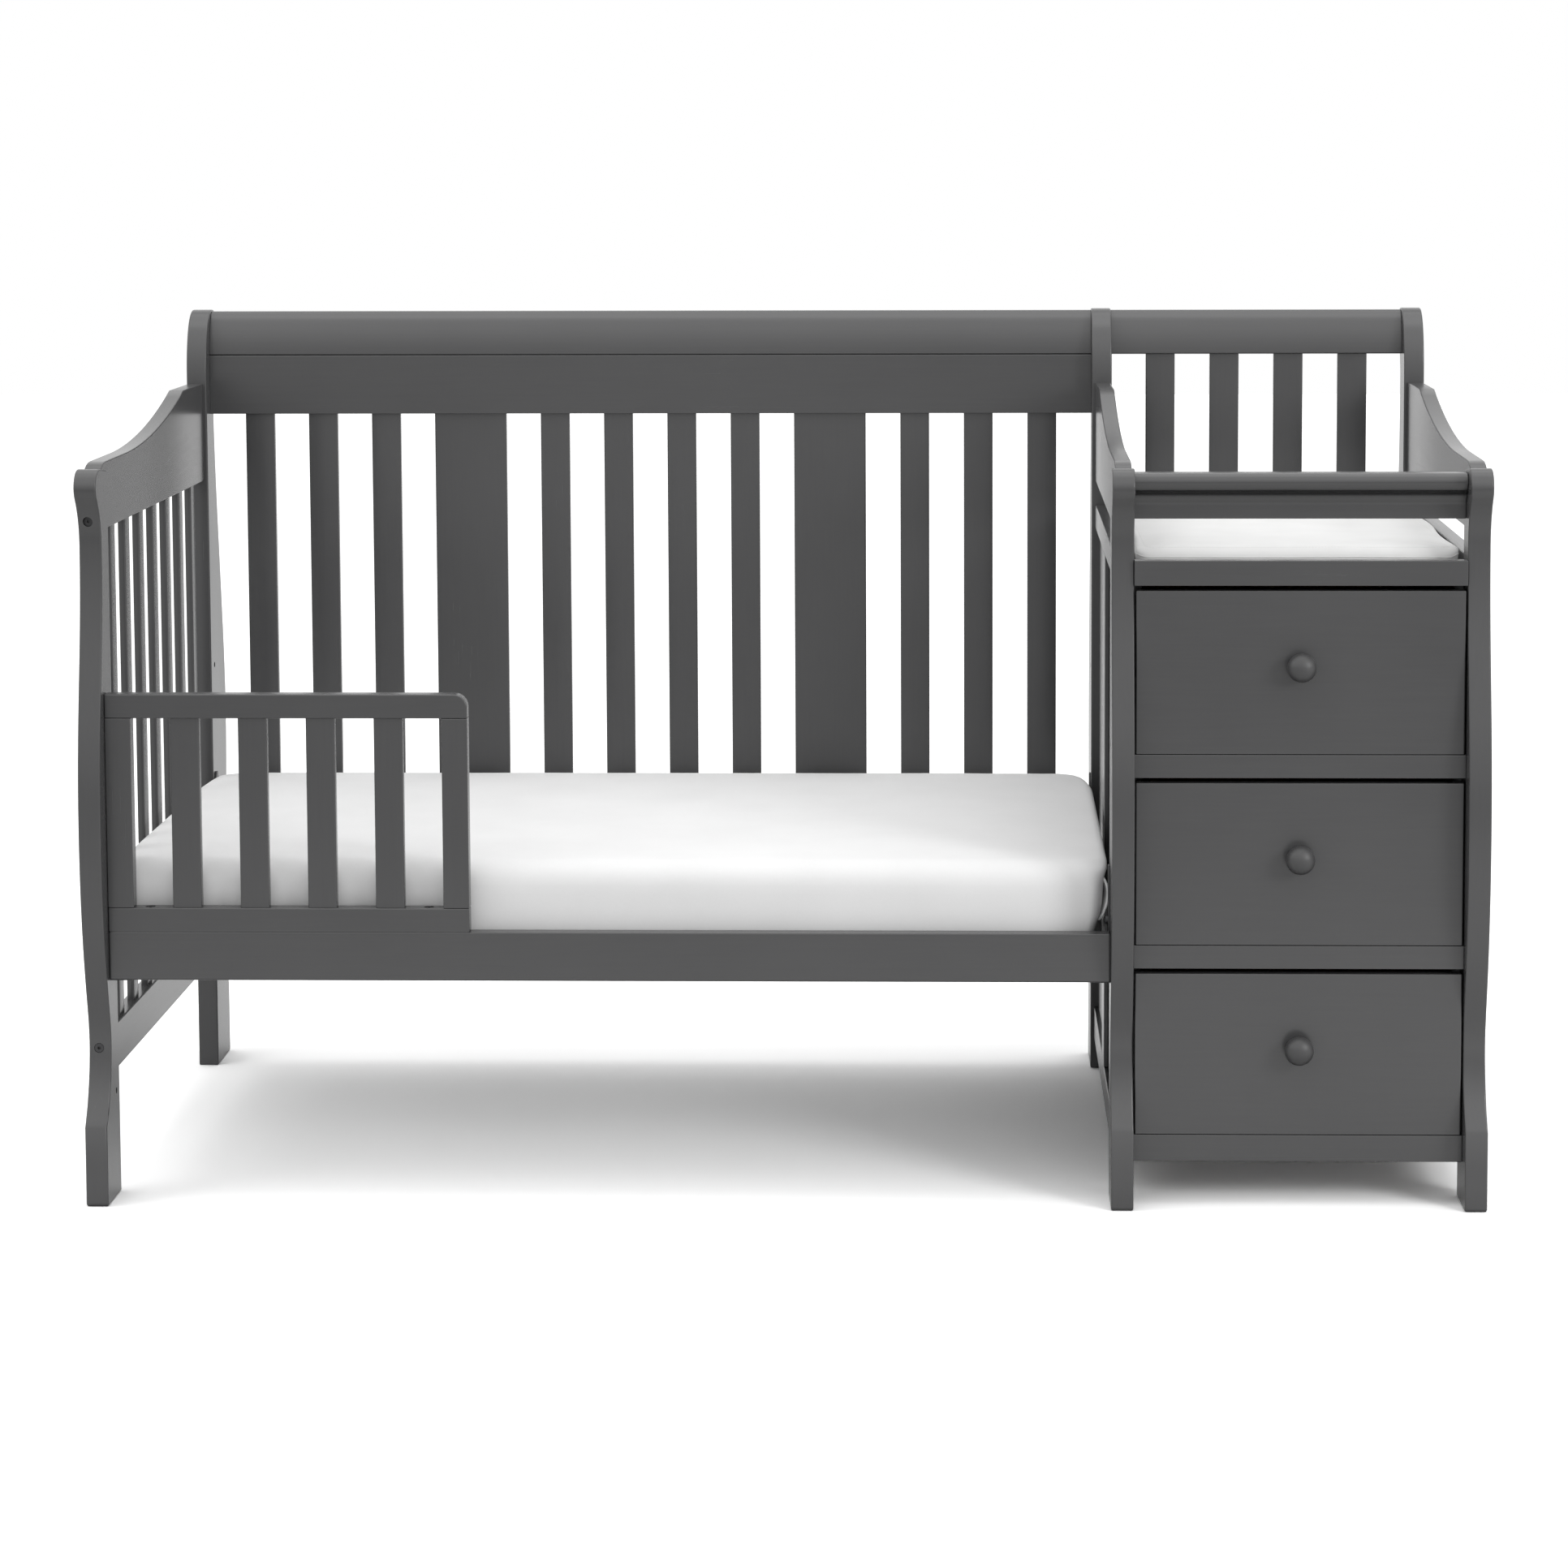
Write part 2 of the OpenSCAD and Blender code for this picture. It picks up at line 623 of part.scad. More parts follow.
module guard_top_rail() paint()
    translate([guard_x, front_y + guard_t, stabiliser_top + guard_h - guard_rail_h])
        rotate([90, 0, 0])
            linear_extrude(guard_t) union() {
                square([guard_w - guard_corner_r, guard_rail_h]);
                square([guard_w, guard_rail_h - guard_corner_r]);
                intersection() {
                    translate([guard_w - guard_corner_r, guard_rail_h - guard_corner_r])
                        circle(guard_corner_r);
                    square([guard_w, guard_rail_h]);
                }
            }

module guard_bottom_rail() paint() difference() {
    board(guard_x, front_y, stabiliser_top, guard_w, guard_t, guard_rail_h);
    for (x = guard_bolt_x)
        translate([x, front_y + guard_t / 2, stabiliser_top - 1]) {
            cylinder(d = bolt_d + 1, h = guard_rail_h + 2);
            translate([0, 0, guard_rail_h + 1 - guard_bolt_sink])
                cylinder(d = bolt_head_d + 1, h = guard_bolt_sink + 1);
        }
}

module guard_stiles() paint() for (x = [guard_x, guard_x + guard_w - guard_stile_w])
    board(x, front_y, guard_slat_z, guard_stile_w, guard_t, guard_slat_h);

module guard_slats() paint() for (i = [0:guard_slats - 1])
    board(guard_x + guard_stile_w + guard_slat_gap + i * (guard_slat_w + guard_slat_gap),
          front_y + (guard_t - guard_slat_t) / 2, guard_slat_z,
          guard_slat_w, guard_slat_t, guard_slat_h);

// A socket-head bolt along z, its head's underside at the origin.
module socket_bolt(length) {
    difference() {
        cylinder(d = bolt_head_d, h = bolt_head_h);
        translate([0, 0, bolt_head_h - 3])
            cylinder(d = socket_af / cos(30), h = 4, $fn = 6);
    }
    translate([0, 0, -length]) cylinder(d = bolt_d, h = length + 0.01);
}

module guard_bolts() black_steel() for (x = guard_bolt_x)
    translate([x, front_y + guard_t / 2, guard_slat_z - guard_bolt_sink])
        socket_bolt(guard_rail_h - guard_bolt_sink + guard_bolt_reach);

// ---- mattress support ----------------------------------------------------

support_z = mattress_z - clear - support_bar_h;
support_gap = 3;                              // between the frame and what is round it
support_x = left_x + support_gauge + support_gap / 2;
support_len = crib_clear - 2 * (support_x - left_x);
support_y = front_y + stabiliser_t + support_gap;
support_depth = back_slat_y - support_gap - support_y;

// Angle bars welded into a rectangle, upright leg outside, flat leg inward.
module support_frame() black_steel() difference() {
    board(support_x, support_y, support_z, support_len, support_depth, support_bar_h);
    board(support_x + support_bar, support_y + support_bar, support_z - 1,
          support_len - 2 * support_bar, support_depth - 2 * support_bar, support_bar_h + 2);
    board(support_x + support_gauge, support_y + support_gauge, support_z + support_gauge,
          support_len - 2 * support_gauge, support_depth - 2 * support_gauge, support_bar_h);
}

// Wires welded into a grid across the frame, their ends against its upright legs.
wire_z = support_z + support_bar_h - wire_d;
weld = 0.4;                                   // how far crossing wires sink together
module support_wires() steel() {
    inner_x = support_x + support_gauge;
    inner_y = support_y + support_gauge;
    inner_len = support_len - 2 * support_gauge;
    inner_depth = support_depth - 2 * support_gauge;
    for (i = [1:long_wires])
        translate([inner_x, inner_y + i * inner_depth / (long_wires + 1), wire_z + wire_d / 2])
            rotate([0, 90, 0]) cylinder(d = wire_d, h = inner_len);
    for (i = [1:cross_wires])
        translate([inner_x + i * inner_len / (cross_wires + 1), inner_y, wire_z - wire_d / 2 + weld])
            rotate([-90, 0, 0]) cylinder(d = wire_d, h = inner_depth);
}

// Folded steel hangers: a strap on the post, its upper corners cut off, and a ledge
// under the frame.
hanger_foot_z = support_z - support_gauge;
hanger_top_z = hole_levels[hanger_level] + hanger_over;
ledge_len = support_x - left_x + support_bar;
hanger_bolt_z = hole_levels[hanger_level];
hanger_head_h = 3.5;
hanger_bolt_in = 10;                          // how far its bolt reaches into the post
hanger_cut = [8, 14];                         // its cut corners' width and height
hanger_strap = [
    [0, hanger_foot_z], [hanger_w, hanger_foot_z], [hanger_w, hanger_top_z - hanger_cut[1]],
    [hanger_w - hanger_cut[0], hanger_top_z], [hanger_cut[0], hanger_top_z],
    [0, hanger_top_z - hanger_cut[1]]
];
module hanger() {
    side_board(hanger_strap, 0, support_gauge);
    board(0, 0, hanger_foot_z, ledge_len, hanger_w, support_gauge);
    translate([support_gauge, hanger_hole_in, hanger_bolt_z])
        rotate([0, 90, 0]) cylinder(d = bolt_head_d, h = hanger_head_h);
    translate([-hanger_bolt_in, hanger_hole_in, hanger_bolt_z])
        rotate([0, 90, 0]) cylinder(d = bolt_d, h = hanger_bolt_in + support_gauge);
}
module support_hangers() black_steel()
    for (x = [left_x, middle_x], y = [hanger_front_y, hanger_rear_y])
        translate([x, y, 0])
            mirror([x == middle_x ? 1 : 0, 0, 0])
                mirror([0, y == hanger_rear_y ? 1 : 0, 0])
                    hanger();

// ---- changer cabinet -----------------------------------------------------

// The guard rail in front of the pad has the posts' nose and hollow in small.
guard_nose_r = 11.3;
guard_nose_out = 20;                          // from the rail's face to the nose's tip
guard_hollow_r = 16.5;
guard_face_y = front_post_rear_y - 1 - table_guard_t;
table_guard_outline = let (
        top = table_guard_z + table_guard_h,
        nose = [guard_face_y - guard_nose_out + guard_nose_r, top - guard_nose_r],
        hollow_y = guard_face_y - guard_hollow_r,
        rise = sqrt(pow(guard_nose_r + guard_hollow_r, 2) - pow(nose[0] - hollow_y, 2)),
        lift = atan2(rise, nose[0] - hollow_y)
    )
    concat(
        [[guard_face_y, table_guard_z]],
        arc([hollow_y, nose[1] - rise], guard_hollow_r, 0, lift, 8),
        arc(nose, guard_nose_r, 180 + lift - 12, 90, 14),
        arc([guard_face_y + table_guard_t - 10, top - 10], 10, 90, 0, 6),
        [[guard_face_y + table_guard_t, table_guard_z]]
    );
module table_guard_rail() paint()
    side_board(table_guard_outline, changer_x, changer_clear);

side_board_y = front_y + cabinet_rail_t;
side_board_depth = back_y - side_board_y;

module changing_shelf() paint()
    board(changer_x, side_board_y, table_rail_z, changer_clear, side_board_depth, shelf_t);

module front_rail(z, h) {
    board(changer_x, front_y, z, changer_clear, cabinet_rail_t, h);
}
module cabinet_top_rail() paint()
    front_rail(table_z - cabinet_top_h, cabinet_top_h);
module cabinet_divider_rails() paint() for (i = [1, 2])
    front_rail(bay_z[i] - divider_h, divider_h);
module cabinet_base_rail() paint() front_rail(base_rail_z, base_rail_h);

module cabinet_side_boards() paint()
    for (x = [changer_x, right_x - side_board_t])
        board(x, side_board_y, base_rail_z, side_board_t, side_board_depth,
              table_rail_z - base_rail_z);

// The fixed members of the ball-bearing runners, folded to a channel.
runner_t = 1.5;
fixed_runner_w = runner_space / 2 - clear;
runner_len = box_depth - 20;
box_x = changer_x + side_board_t + runner_space;
box_w = changer_clear - 2 * side_board_t - 2 * runner_space;
box_y = front_y + drawer_front_t;
box_rise = 20;                        // box's lower edge above the front's
runner_rise = box_rise + box_h / 2 - runner_h / 2;

module runner_channel(w, h) {
    difference() {
        cube([w, runner_len, h]);
        translate([runner_t, -1, runner_t]) cube([w, runner_len + 2, h - 2 * runner_t]);
    }
}
module fixed_runners() steel() for (z = bay_z) {
    translate([changer_x + side_board_t, box_y + 5, z + runner_rise])
        runner_channel(fixed_runner_w, runner_h);
    translate([right_x - side_board_t, box_y + 5, z + runner_rise])
        mirror([1, 0, 0]) runner_channel(fixed_runner_w, runner_h);
}

// ---- drawers -------------------------------------------------------------

// Each takes the height of its bay's floor.
function knob_z(z) = z + drawer_low_gap + drawer_front_h / 2 + knob_rise;
module drawer_front(z) paint() difference() {
    board(changer_x + drawer_side_gap, front_y, z + drawer_low_gap, drawer_w,
          drawer_front_t, drawer_front_h);
    translate([changer_x + changer_clear / 2, front_y - 1, knob_z(z)])
        rotate([-90, 0, 0]) cylinder(d = 4.5, h = drawer_front_t + 2);
}

// Two sides, a back and an inner front round the groove for the bottom; the
// moving runner members are screwed to the sides.
slide_len = runner_len;
module drawer_box(z) {
    low = z + box_rise;
    inner_wood() {
        difference() {
            board(box_x, box_y, low, box_w, box_depth, box_h);
            board(box_x + box_t, box_y + box_t, low - 1,
                  box_w - 2 * box_t, box_depth - 2 * box_t, box_h + 2);
            drawer_floor(z);
            translate([changer_x + changer_clear / 2, box_y - 1, knob_z(z)])
                rotate([-90, 0, 0]) cylinder(d = 10, h = box_t + 2);
        }
    }
    steel() for (x = [box_x - slider_w, box_x + box_w])
        board(x, box_y + 5, z + runner_rise + runner_t + slider_gap,
              slider_w, slide_len, runner_h - 2 * runner_t - 2 * slider_gap);
}
slider_w = runner_space - runner_t - 1;
slider_gap = 0.6;

bottom_lap = 6;                        // how far the bottom sits in its grooves
module drawer_floor(z) {
    board(box_x + box_t - bottom_lap, box_y + box_t - bottom_lap, z + box_rise + bottom_rise,
          box_w - 2 * box_t + 2 * bottom_lap, box_depth - 2 * box_t + 2 * bottom_lap,
          bottom_t);
}
module drawer_bottom(z) inner_wood() drawer_floor(z);

// A turned ball knob on a flared neck, with its screw.
neck_len = 4.5;
knob_squash = 0.8;                     // a knob's depth over its diameter
module drawer_knob(z) {
    knob_r = knob_d / 2;
    neck_r = knob_neck_d / 2;
    start = -acos(neck_r / knob_r);
    ball_y = neck_len - knob_r * knob_squash * sin(start);
    translate([changer_x + changer_clear / 2, front_y, knob_z(z)])
        rotate([90, 0, 0]) {
            paint() rotate_extrude() polygon(concat(
                [[0, 0], [neck_r + 3, 0]],
                curve([neck_r + 3, 0], [neck_r + 1, 1], [neck_r, 2], [neck_r, neck_len], 6),
                [for (i = [1:18]) let (a = start + (90 - start) * i / 18)
                    [knob_r * cos(a), knob_r * knob_squash * sin(a) + ball_y]]
            ));
            steel() translate([0, 0, -drawer_front_t - 2]) cylinder(d = 4, h = drawer_front_t + 4);
            steel() translate([0, 0, -drawer_front_t - 3]) cylinder(d = 9, h = 3);
        }
}

module top_drawer_front() drawer_front(bay_z[2]);
module top_drawer_box() drawer_box(bay_z[2]);
module top_drawer_bottom() drawer_bottom(bay_z[2]);
module top_drawer_knob() drawer_knob(bay_z[2]);
module middle_drawer_front() drawer_front(bay_z[1]);
module middle_drawer_box() drawer_box(bay_z[1]);
module middle_drawer_bottom() drawer_bottom(bay_z[1]);
module middle_drawer_knob() drawer_knob(bay_z[1]);
module bottom_drawer_front() drawer_front(bay_z[0]);
module bottom_drawer_box() drawer_box(bay_z[0]);
module bottom_drawer_bottom() drawer_bottom(bay_z[0]);
module bottom_drawer_knob() drawer_knob(bay_z[0]);

// ---- fixings -------------------------------------------------------------

// Bolts through the left posts into barrel nuts in the end rails, and through
// the crib-side posts into the stabiliser and the back rails.
module frame_bolts() black_steel() {
    bolt_x = left_rail_x + rail_t / 2;
    for (z = frame_bolt_z) {
        front_seat = neck_y(z) + bolt_head_h;
        rear_seat = rear_foot_y - scoop_in - bolt_head_h;
        translate([bolt_x, front_seat, z]) rotate([90, 0, 0])
            socket_bolt(front_post_rear_y + nut_reach - front_seat);
        translate([bolt_x, rear_seat, z]) rotate([-90, 0, 0])
            socket_bolt(rear_seat - rear_post_y + nut_reach);
        for (y = [front_post_rear_y + nut_reach, rear_post_y - nut_reach])
            translate([left_rail_x + 1, y, z])
                rotate([0, 90, 0]) cylinder(d = nut_d, h = rail_t - nut_skin - 2);
    }
    for (z = panel_bolt_z) {
        translate([bolt_head_h, back_bolt_y, z]) rotate([0, -90, 0]) socket_bolt(bolt_len);
        translate([changer_x - bolt_head_h, back_bolt_y, z]) rotate([0, 90, 0])
            socket_bolt(bolt_len);
    }
    translate([bolt_head_h, stabiliser_bolt_y, stabiliser_bolt_z])
        rotate([0, -90, 0]) socket_bolt(bolt_len);
    translate([changer_x - bolt_head_h, stabiliser_bolt_y, stabiliser_bolt_z])
        rotate([0, 90, 0]) socket_bolt(bolt_len);
}

// ---- mattress and changing pad -------------------------------------------

// A closed pad with rounded corners in plan.
module soft_block(x, y, z, w, d, h, r) {
    translate([x, y, z])
        linear_extrude(h) union() {
            translate([r, 0]) square([w - 2 * r, d]);
            translate([0, r]) square([w, d - 2 * r]);
            for (cx = [r, w - r], cy = [r, d - r]) translate([cx, cy]) circle(r);
        }
}

mattress_x = left_x + mattress_end_gap;
mattress_y = front_y + stabiliser_t + mattress_side_gap;
module mattress() color("#f6f6f6")
    soft_block(mattress_x, mattress_y, mattress_z, crib_clear - 2 * mattress_end_gap,
               back_y - mattress_side_gap - mattress_y, mattress_h, mattress_corner_r);

pad_y = guard_face_y + table_guard_t + 2;
module changing_pad() color("#f2f2f0")
    soft_block(changer_x + pad_gap, pad_y, table_rail_z + shelf_t + clear,
               changer_clear - 2 * pad_gap, back_y - pad_gap - pad_y,
               pad_h, pad_corner_r);

// ---- every piece ---------------------------------------------------------
placed() left_front_post();
placed() left_rear_post();
placed() left_top_rail();
placed() left_bottom_rail();
placed() left_slats();
placed() middle_front_post();
placed() middle_rear_post();
placed() middle_top_rail();
placed() middle_table_rail();
placed() middle_foot_rail();
placed() middle_mullion();
placed() middle_sunk_panels();
placed() right_front_post();
placed() right_rear_post();
placed() right_top_rail();
placed() right_table_rail();
placed() right_foot_rail();
placed() right_mullion();
placed() right_sunk_panels();
placed() crib_crown_rail();
placed() crib_back_board();
placed() crib_back_slats();
placed() crib_back_bottom_rail();
placed() changer_crown_rail();
placed() changer_back_slats();
placed() changer_back_rail();
placed() cabinet_back();
placed() stabiliser_rail();
placed() guard_top_rail();
placed() guard_bottom_rail();
placed() guard_stiles();
placed() guard_slats();
placed() guard_bolts();
placed() support_frame();
placed() support_wires();
placed() support_hangers();
placed() table_guard_rail();
placed() changing_shelf();
placed() cabinet_top_rail();
placed() cabinet_divider_rails();
placed() cabinet_base_rail();
placed() cabinet_side_boards();
placed() fixed_runners();
placed() frame_bolts();
placed() top_drawer_front();
placed() top_drawer_box();
placed() top_drawer_bottom();
placed() top_drawer_knob();
placed() middle_drawer_front();
placed() middle_drawer_box();
placed() middle_drawer_bottom();
placed() middle_drawer_knob();
placed() bottom_drawer_front();
placed() bottom_drawer_box();
placed() bottom_drawer_bottom();
placed() bottom_drawer_knob();
placed() mattress();
placed() changing_pad();
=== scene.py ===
"""Looks of the crib with its attached changer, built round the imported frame, in metres.

X runs along the crib to the changer, Y from front to back and Z up from the floor.
The sections follow the order in which the furniture is put together.
"""
import json
import math

import bmesh
import bpy
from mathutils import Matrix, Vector, noise
from mathutils.bvhtree import BVHTree


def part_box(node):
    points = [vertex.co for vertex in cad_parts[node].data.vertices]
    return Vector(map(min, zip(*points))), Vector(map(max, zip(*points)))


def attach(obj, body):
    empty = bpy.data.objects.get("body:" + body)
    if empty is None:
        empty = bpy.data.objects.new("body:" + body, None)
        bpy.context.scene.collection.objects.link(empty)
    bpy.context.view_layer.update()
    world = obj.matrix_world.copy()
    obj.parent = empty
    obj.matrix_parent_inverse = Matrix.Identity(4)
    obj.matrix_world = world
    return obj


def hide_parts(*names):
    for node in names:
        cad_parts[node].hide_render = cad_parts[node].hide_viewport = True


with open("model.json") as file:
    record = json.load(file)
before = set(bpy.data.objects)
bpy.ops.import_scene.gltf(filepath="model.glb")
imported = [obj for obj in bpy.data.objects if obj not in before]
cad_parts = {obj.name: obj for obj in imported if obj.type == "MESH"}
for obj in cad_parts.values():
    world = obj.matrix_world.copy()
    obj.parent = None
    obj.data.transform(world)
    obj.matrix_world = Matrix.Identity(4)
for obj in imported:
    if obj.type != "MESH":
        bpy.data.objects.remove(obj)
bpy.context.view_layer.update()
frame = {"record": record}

# ---- Camera ---------------------------------------------------------------------
# A long lens stands in front of the crib's right part, higher than the back's top, and
# looks slightly down; a small shift keeps the posts nearly upright.
eye = bpy.data.objects.new("camera", bpy.data.cameras.new("camera"))
bpy.context.scene.collection.objects.link(eye)
eye.location = (0.2239, -5.2022, 1.4284)
eye.rotation_euler = [math.radians(angle) for angle in (85.0651, 0.1701, 1.3929)]
eye.data.sensor_width = 36
eye.data.lens = 85.549
eye.data.shift_x = -0.05
eye.data.shift_y = -0.22
bpy.context.scene.camera = eye


# ---- Posts ----------------------------------------------------------------------
# Six posts are sawn from 29.5 mm poplar boards and shaped front or back. The arrises
# are sanded round, then a satin dark grey paint is sprayed on in two coats.
class Wire:
    """One output of a node, which can be reckoned with like a number."""

    def __init__(self, tree, socket=None):
        self.tree = tree
        self.socket = socket

    def node(self, kind, settings=None, inputs=None, output=0):
        made = self.tree.nodes.new(kind)
        for name, value in (settings or {}).items():
            setattr(made, name, value)
        for name, value in (inputs or {}).items():
            if isinstance(value, Wire):
                self.tree.links.new(value.socket, made.inputs[name])
            else:
                made.inputs[name].default_value = value
        return Wire(self.tree, made.outputs[output])

    def math(self, operation, *values):
        return self.node("ShaderNodeMath", {"operation": operation}, dict(enumerate(values)))

    def vector(self, operation, *values, output=0):
        settings = {"operation": operation}
        return self.node("ShaderNodeVectorMath", settings, dict(enumerate(values)), output)

    def split(self):
        """This vector's X, Y and Z."""
        parts = self.node("ShaderNodeSeparateXYZ", {}, {0: self}).socket.node
        return [Wire(self.tree, part) for part in parts.outputs]

    def __add__(self, other):
        return self.math("ADD", self, other)

    def __sub__(self, other):
        return self.math("SUBTRACT", self, other)

    def __rsub__(self, other):
        return self.math("SUBTRACT", other, self)

    def __mul__(self, other):
        return self.math("MULTIPLY", self, other)

    def __truediv__(self, other):
        return self.math("DIVIDE", self, other)

    __radd__ = __add__
    __rmul__ = __mul__

    def between(self, low, high):
        """This number, from 0 to 1, as a colour between two."""
        low = low if isinstance(low, Wire) else (*low, 1.0)
        high = high if isinstance(high, Wire) else (*high, 1.0)
        return self.node("ShaderNodeMix", {"data_type": "RGBA"}, {0: self, 6: low, 7: high}, 2)

    def noise(self, place, scale, detail=2.0, roughness=0.5):
        return self.node("ShaderNodeTexNoise", {}, {
            "Vector": place, "Scale": scale, "Detail": detail, "Roughness": roughness})

    def ramp(self, low, high):
        """This number stretched so that low becomes 0 and high becomes 1."""
        return self.node("ShaderNodeMapRange", {}, {
            "Value": self, "From Min": low, "From Max": high})

    def bump(self, strength, distance):
        return self.node("ShaderNodeBump", {}, {
            "Height": self, "Strength": strength, "Distance": distance})

    def feed(self, node, name):
        self.tree.links.new(self.socket, node.inputs[name])


def new_finish(name):
    """A material with its shader, its node tree's wire and the piece's own coordinates."""
    material = bpy.data.materials.new(name)
    material.use_nodes = True
    shader = material.node_tree.nodes["Principled BSDF"]
    wire = Wire(material.node_tree)
    return material, shader, wire, wire.node("ShaderNodeTexCoord", output="Object")


def along_grain(place, grain, squeeze=0.035):
    """Coordinates drawn out along the wood's grain, an axis letter."""
    stretch = [1.0, 1.0, 1.0]
    stretch["XYZ".index(grain)] = squeeze
    return place.vector("MULTIPLY", place, stretch)


DEEPER_GREY, PALER_GREY = (0.0570, 0.0570, 0.0582), (0.0650, 0.0650, 0.0662)
# painted shade: the grey given to faces turned down
PAINTED_SHADE_GREY = (0.019, 0.019, 0.0194)


def grey_paint(grain, duller=0.0, depth=1.0):
    """Sprayed satin paint, through which the grain shows as the faintest streaks.

    Faces turned down are painted darker, as painted shade for the shadow under noses
    and in hollows. duller roughens it, and depth scales its lightness.
    """
    name = ("dull_" if duller else "") + "grey_paint_along_" + grain
    material, shader, wire, place = new_finish(name)
    fibres = wire.noise(along_grain(place, grain), 260, 4, 0.62)
    clouds = wire.noise(place, 5.0, 3)
    peel = wire.noise(place, 620, 1)
    shade = (fibres * 0.35 + clouds * 0.65).ramp(0.3, 0.7)
    shade = shade.between([depth * part for part in DEEPER_GREY],
                          [depth * part for part in PALER_GREY])
    # painted shade: faces turned down blend into the darker grey
    facing_up = wire.node("ShaderNodeNewGeometry", output="Normal").split()[2]
    facing_up.ramp(-0.70, 0.0).between(PAINTED_SHADE_GREY, shade).feed(shader, "Base Color")
    (0.20 + duller + clouds * 0.06 + fibres * 0.05).feed(shader, "Roughness")
    (fibres * 0.6 + peel * 0.4).bump(0.22, 0.00012).feed(shader, "Normal")
    shader.inputs["IOR"].default_value = 1.5
    return material


paint = {grain: grey_paint(grain) for grain in "XYZ"}
WHO_CARRIES = {node: body for body, nodes in frame["record"]["behaviour"]["bodies"].items()
               for node in nodes}
POST_ARRIS, RAIL_ARRIS = 0.0022, 0.0018


def settle(piece, node):
    """Lets a finished piece stand for a CAD node: hides the node and puts the piece on the same
    body.
    """
    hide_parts(node)
    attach(piece, WHO_CARRIES[node])
    return piece


def dressed(node, material, arris=RAIL_ARRIS, second=None):
    """The CAD solid's surface with its arrises rounded and its curves smooth.

    second is a test of a face's middle and a material for the faces that pass it.
    """
    same_point, same_plane, sharp_from = 0.00002, math.radians(0.6), math.radians(35)
    mesh = bpy.data.objects[node].data.copy()
    mesh.name = node + "_dressed"
    work = bmesh.new()
    work.from_mesh(mesh)
    bmesh.ops.remove_doubles(work, verts=work.verts, dist=same_point)
    bmesh.ops.dissolve_limit(work, angle_limit=same_plane, verts=work.verts, edges=work.edges)
    soft = work.edges.layers.float.new("bevel_weight_edge")
    shortest = max(0.0011, 0.6 * arris)
    for edge in work.edges:
        sharp = len(edge.link_faces) == 2 and edge.calc_face_angle(0) > sharp_from
        edge[soft] = 1.0 if sharp and edge.calc_length() > shortest else 0.0
        edge.smooth = not sharp
    for face in work.faces:
        face.smooth = True
        face.material_index = int(second is not None and second[0](face.calc_center_median()))
    mesh.materials.clear()
    mesh.materials.append(material)
    if second:
        mesh.materials.append(second[1])
    work.to_mesh(mesh)
    work.free()
    piece = bpy.data.objects.new(node + "_dressed", mesh)
    bpy.context.scene.collection.objects.link(piece)
    if arris:
        rounding = piece.modifiers.new("rounded arrises", "BEVEL")
        rounding.width = arris
        rounding.segments = 3
        rounding.limit_method = "WEIGHT"
        rounding.use_clamp_overlap = False
        rounding.harden_normals = True
        rounding.miter_outer = "MITER_ARC"
    return settle(piece, node)


for side in ("left", "middle", "right"):
    for end in ("front", "rear"):
        dressed(f"{side}_{end}_post", paint["Z"], POST_ARRIS)


# ---- Left end -------------------------------------------------------------------
# A solid board cut to a sweep forms the top rail, a straight rail the foot. Seven
# flat slats with softened edges are mortised between them; all painted as the posts.
def eased_end(rail):
    """Rolls a top rail's front end down in a long ellipse on to its post."""
    rail_top, sawn_r, long_r, deep_r, overlap = 0.979, 0.011, 0.039, 0.022, 0.015
    front = min(vert.co.y for vert in rail.data.vertices)
    for vert in rail.data.vertices:
        back, rise = vert.co.y - front, vert.co.z - (rail_top - sawn_r)
        if back < sawn_r + 0.0002 and rise > -0.0005:
            angle = math.atan2(sawn_r - back, max(0.0, rise))
            vert.co.y = front + overlap - long_r * math.sin(angle)
            vert.co.z = rail_top - deep_r * (1 - math.cos(angle))


eased_end(dressed("left_top_rail", paint["Y"]))
dressed("left_bottom_rail", paint["Y"])


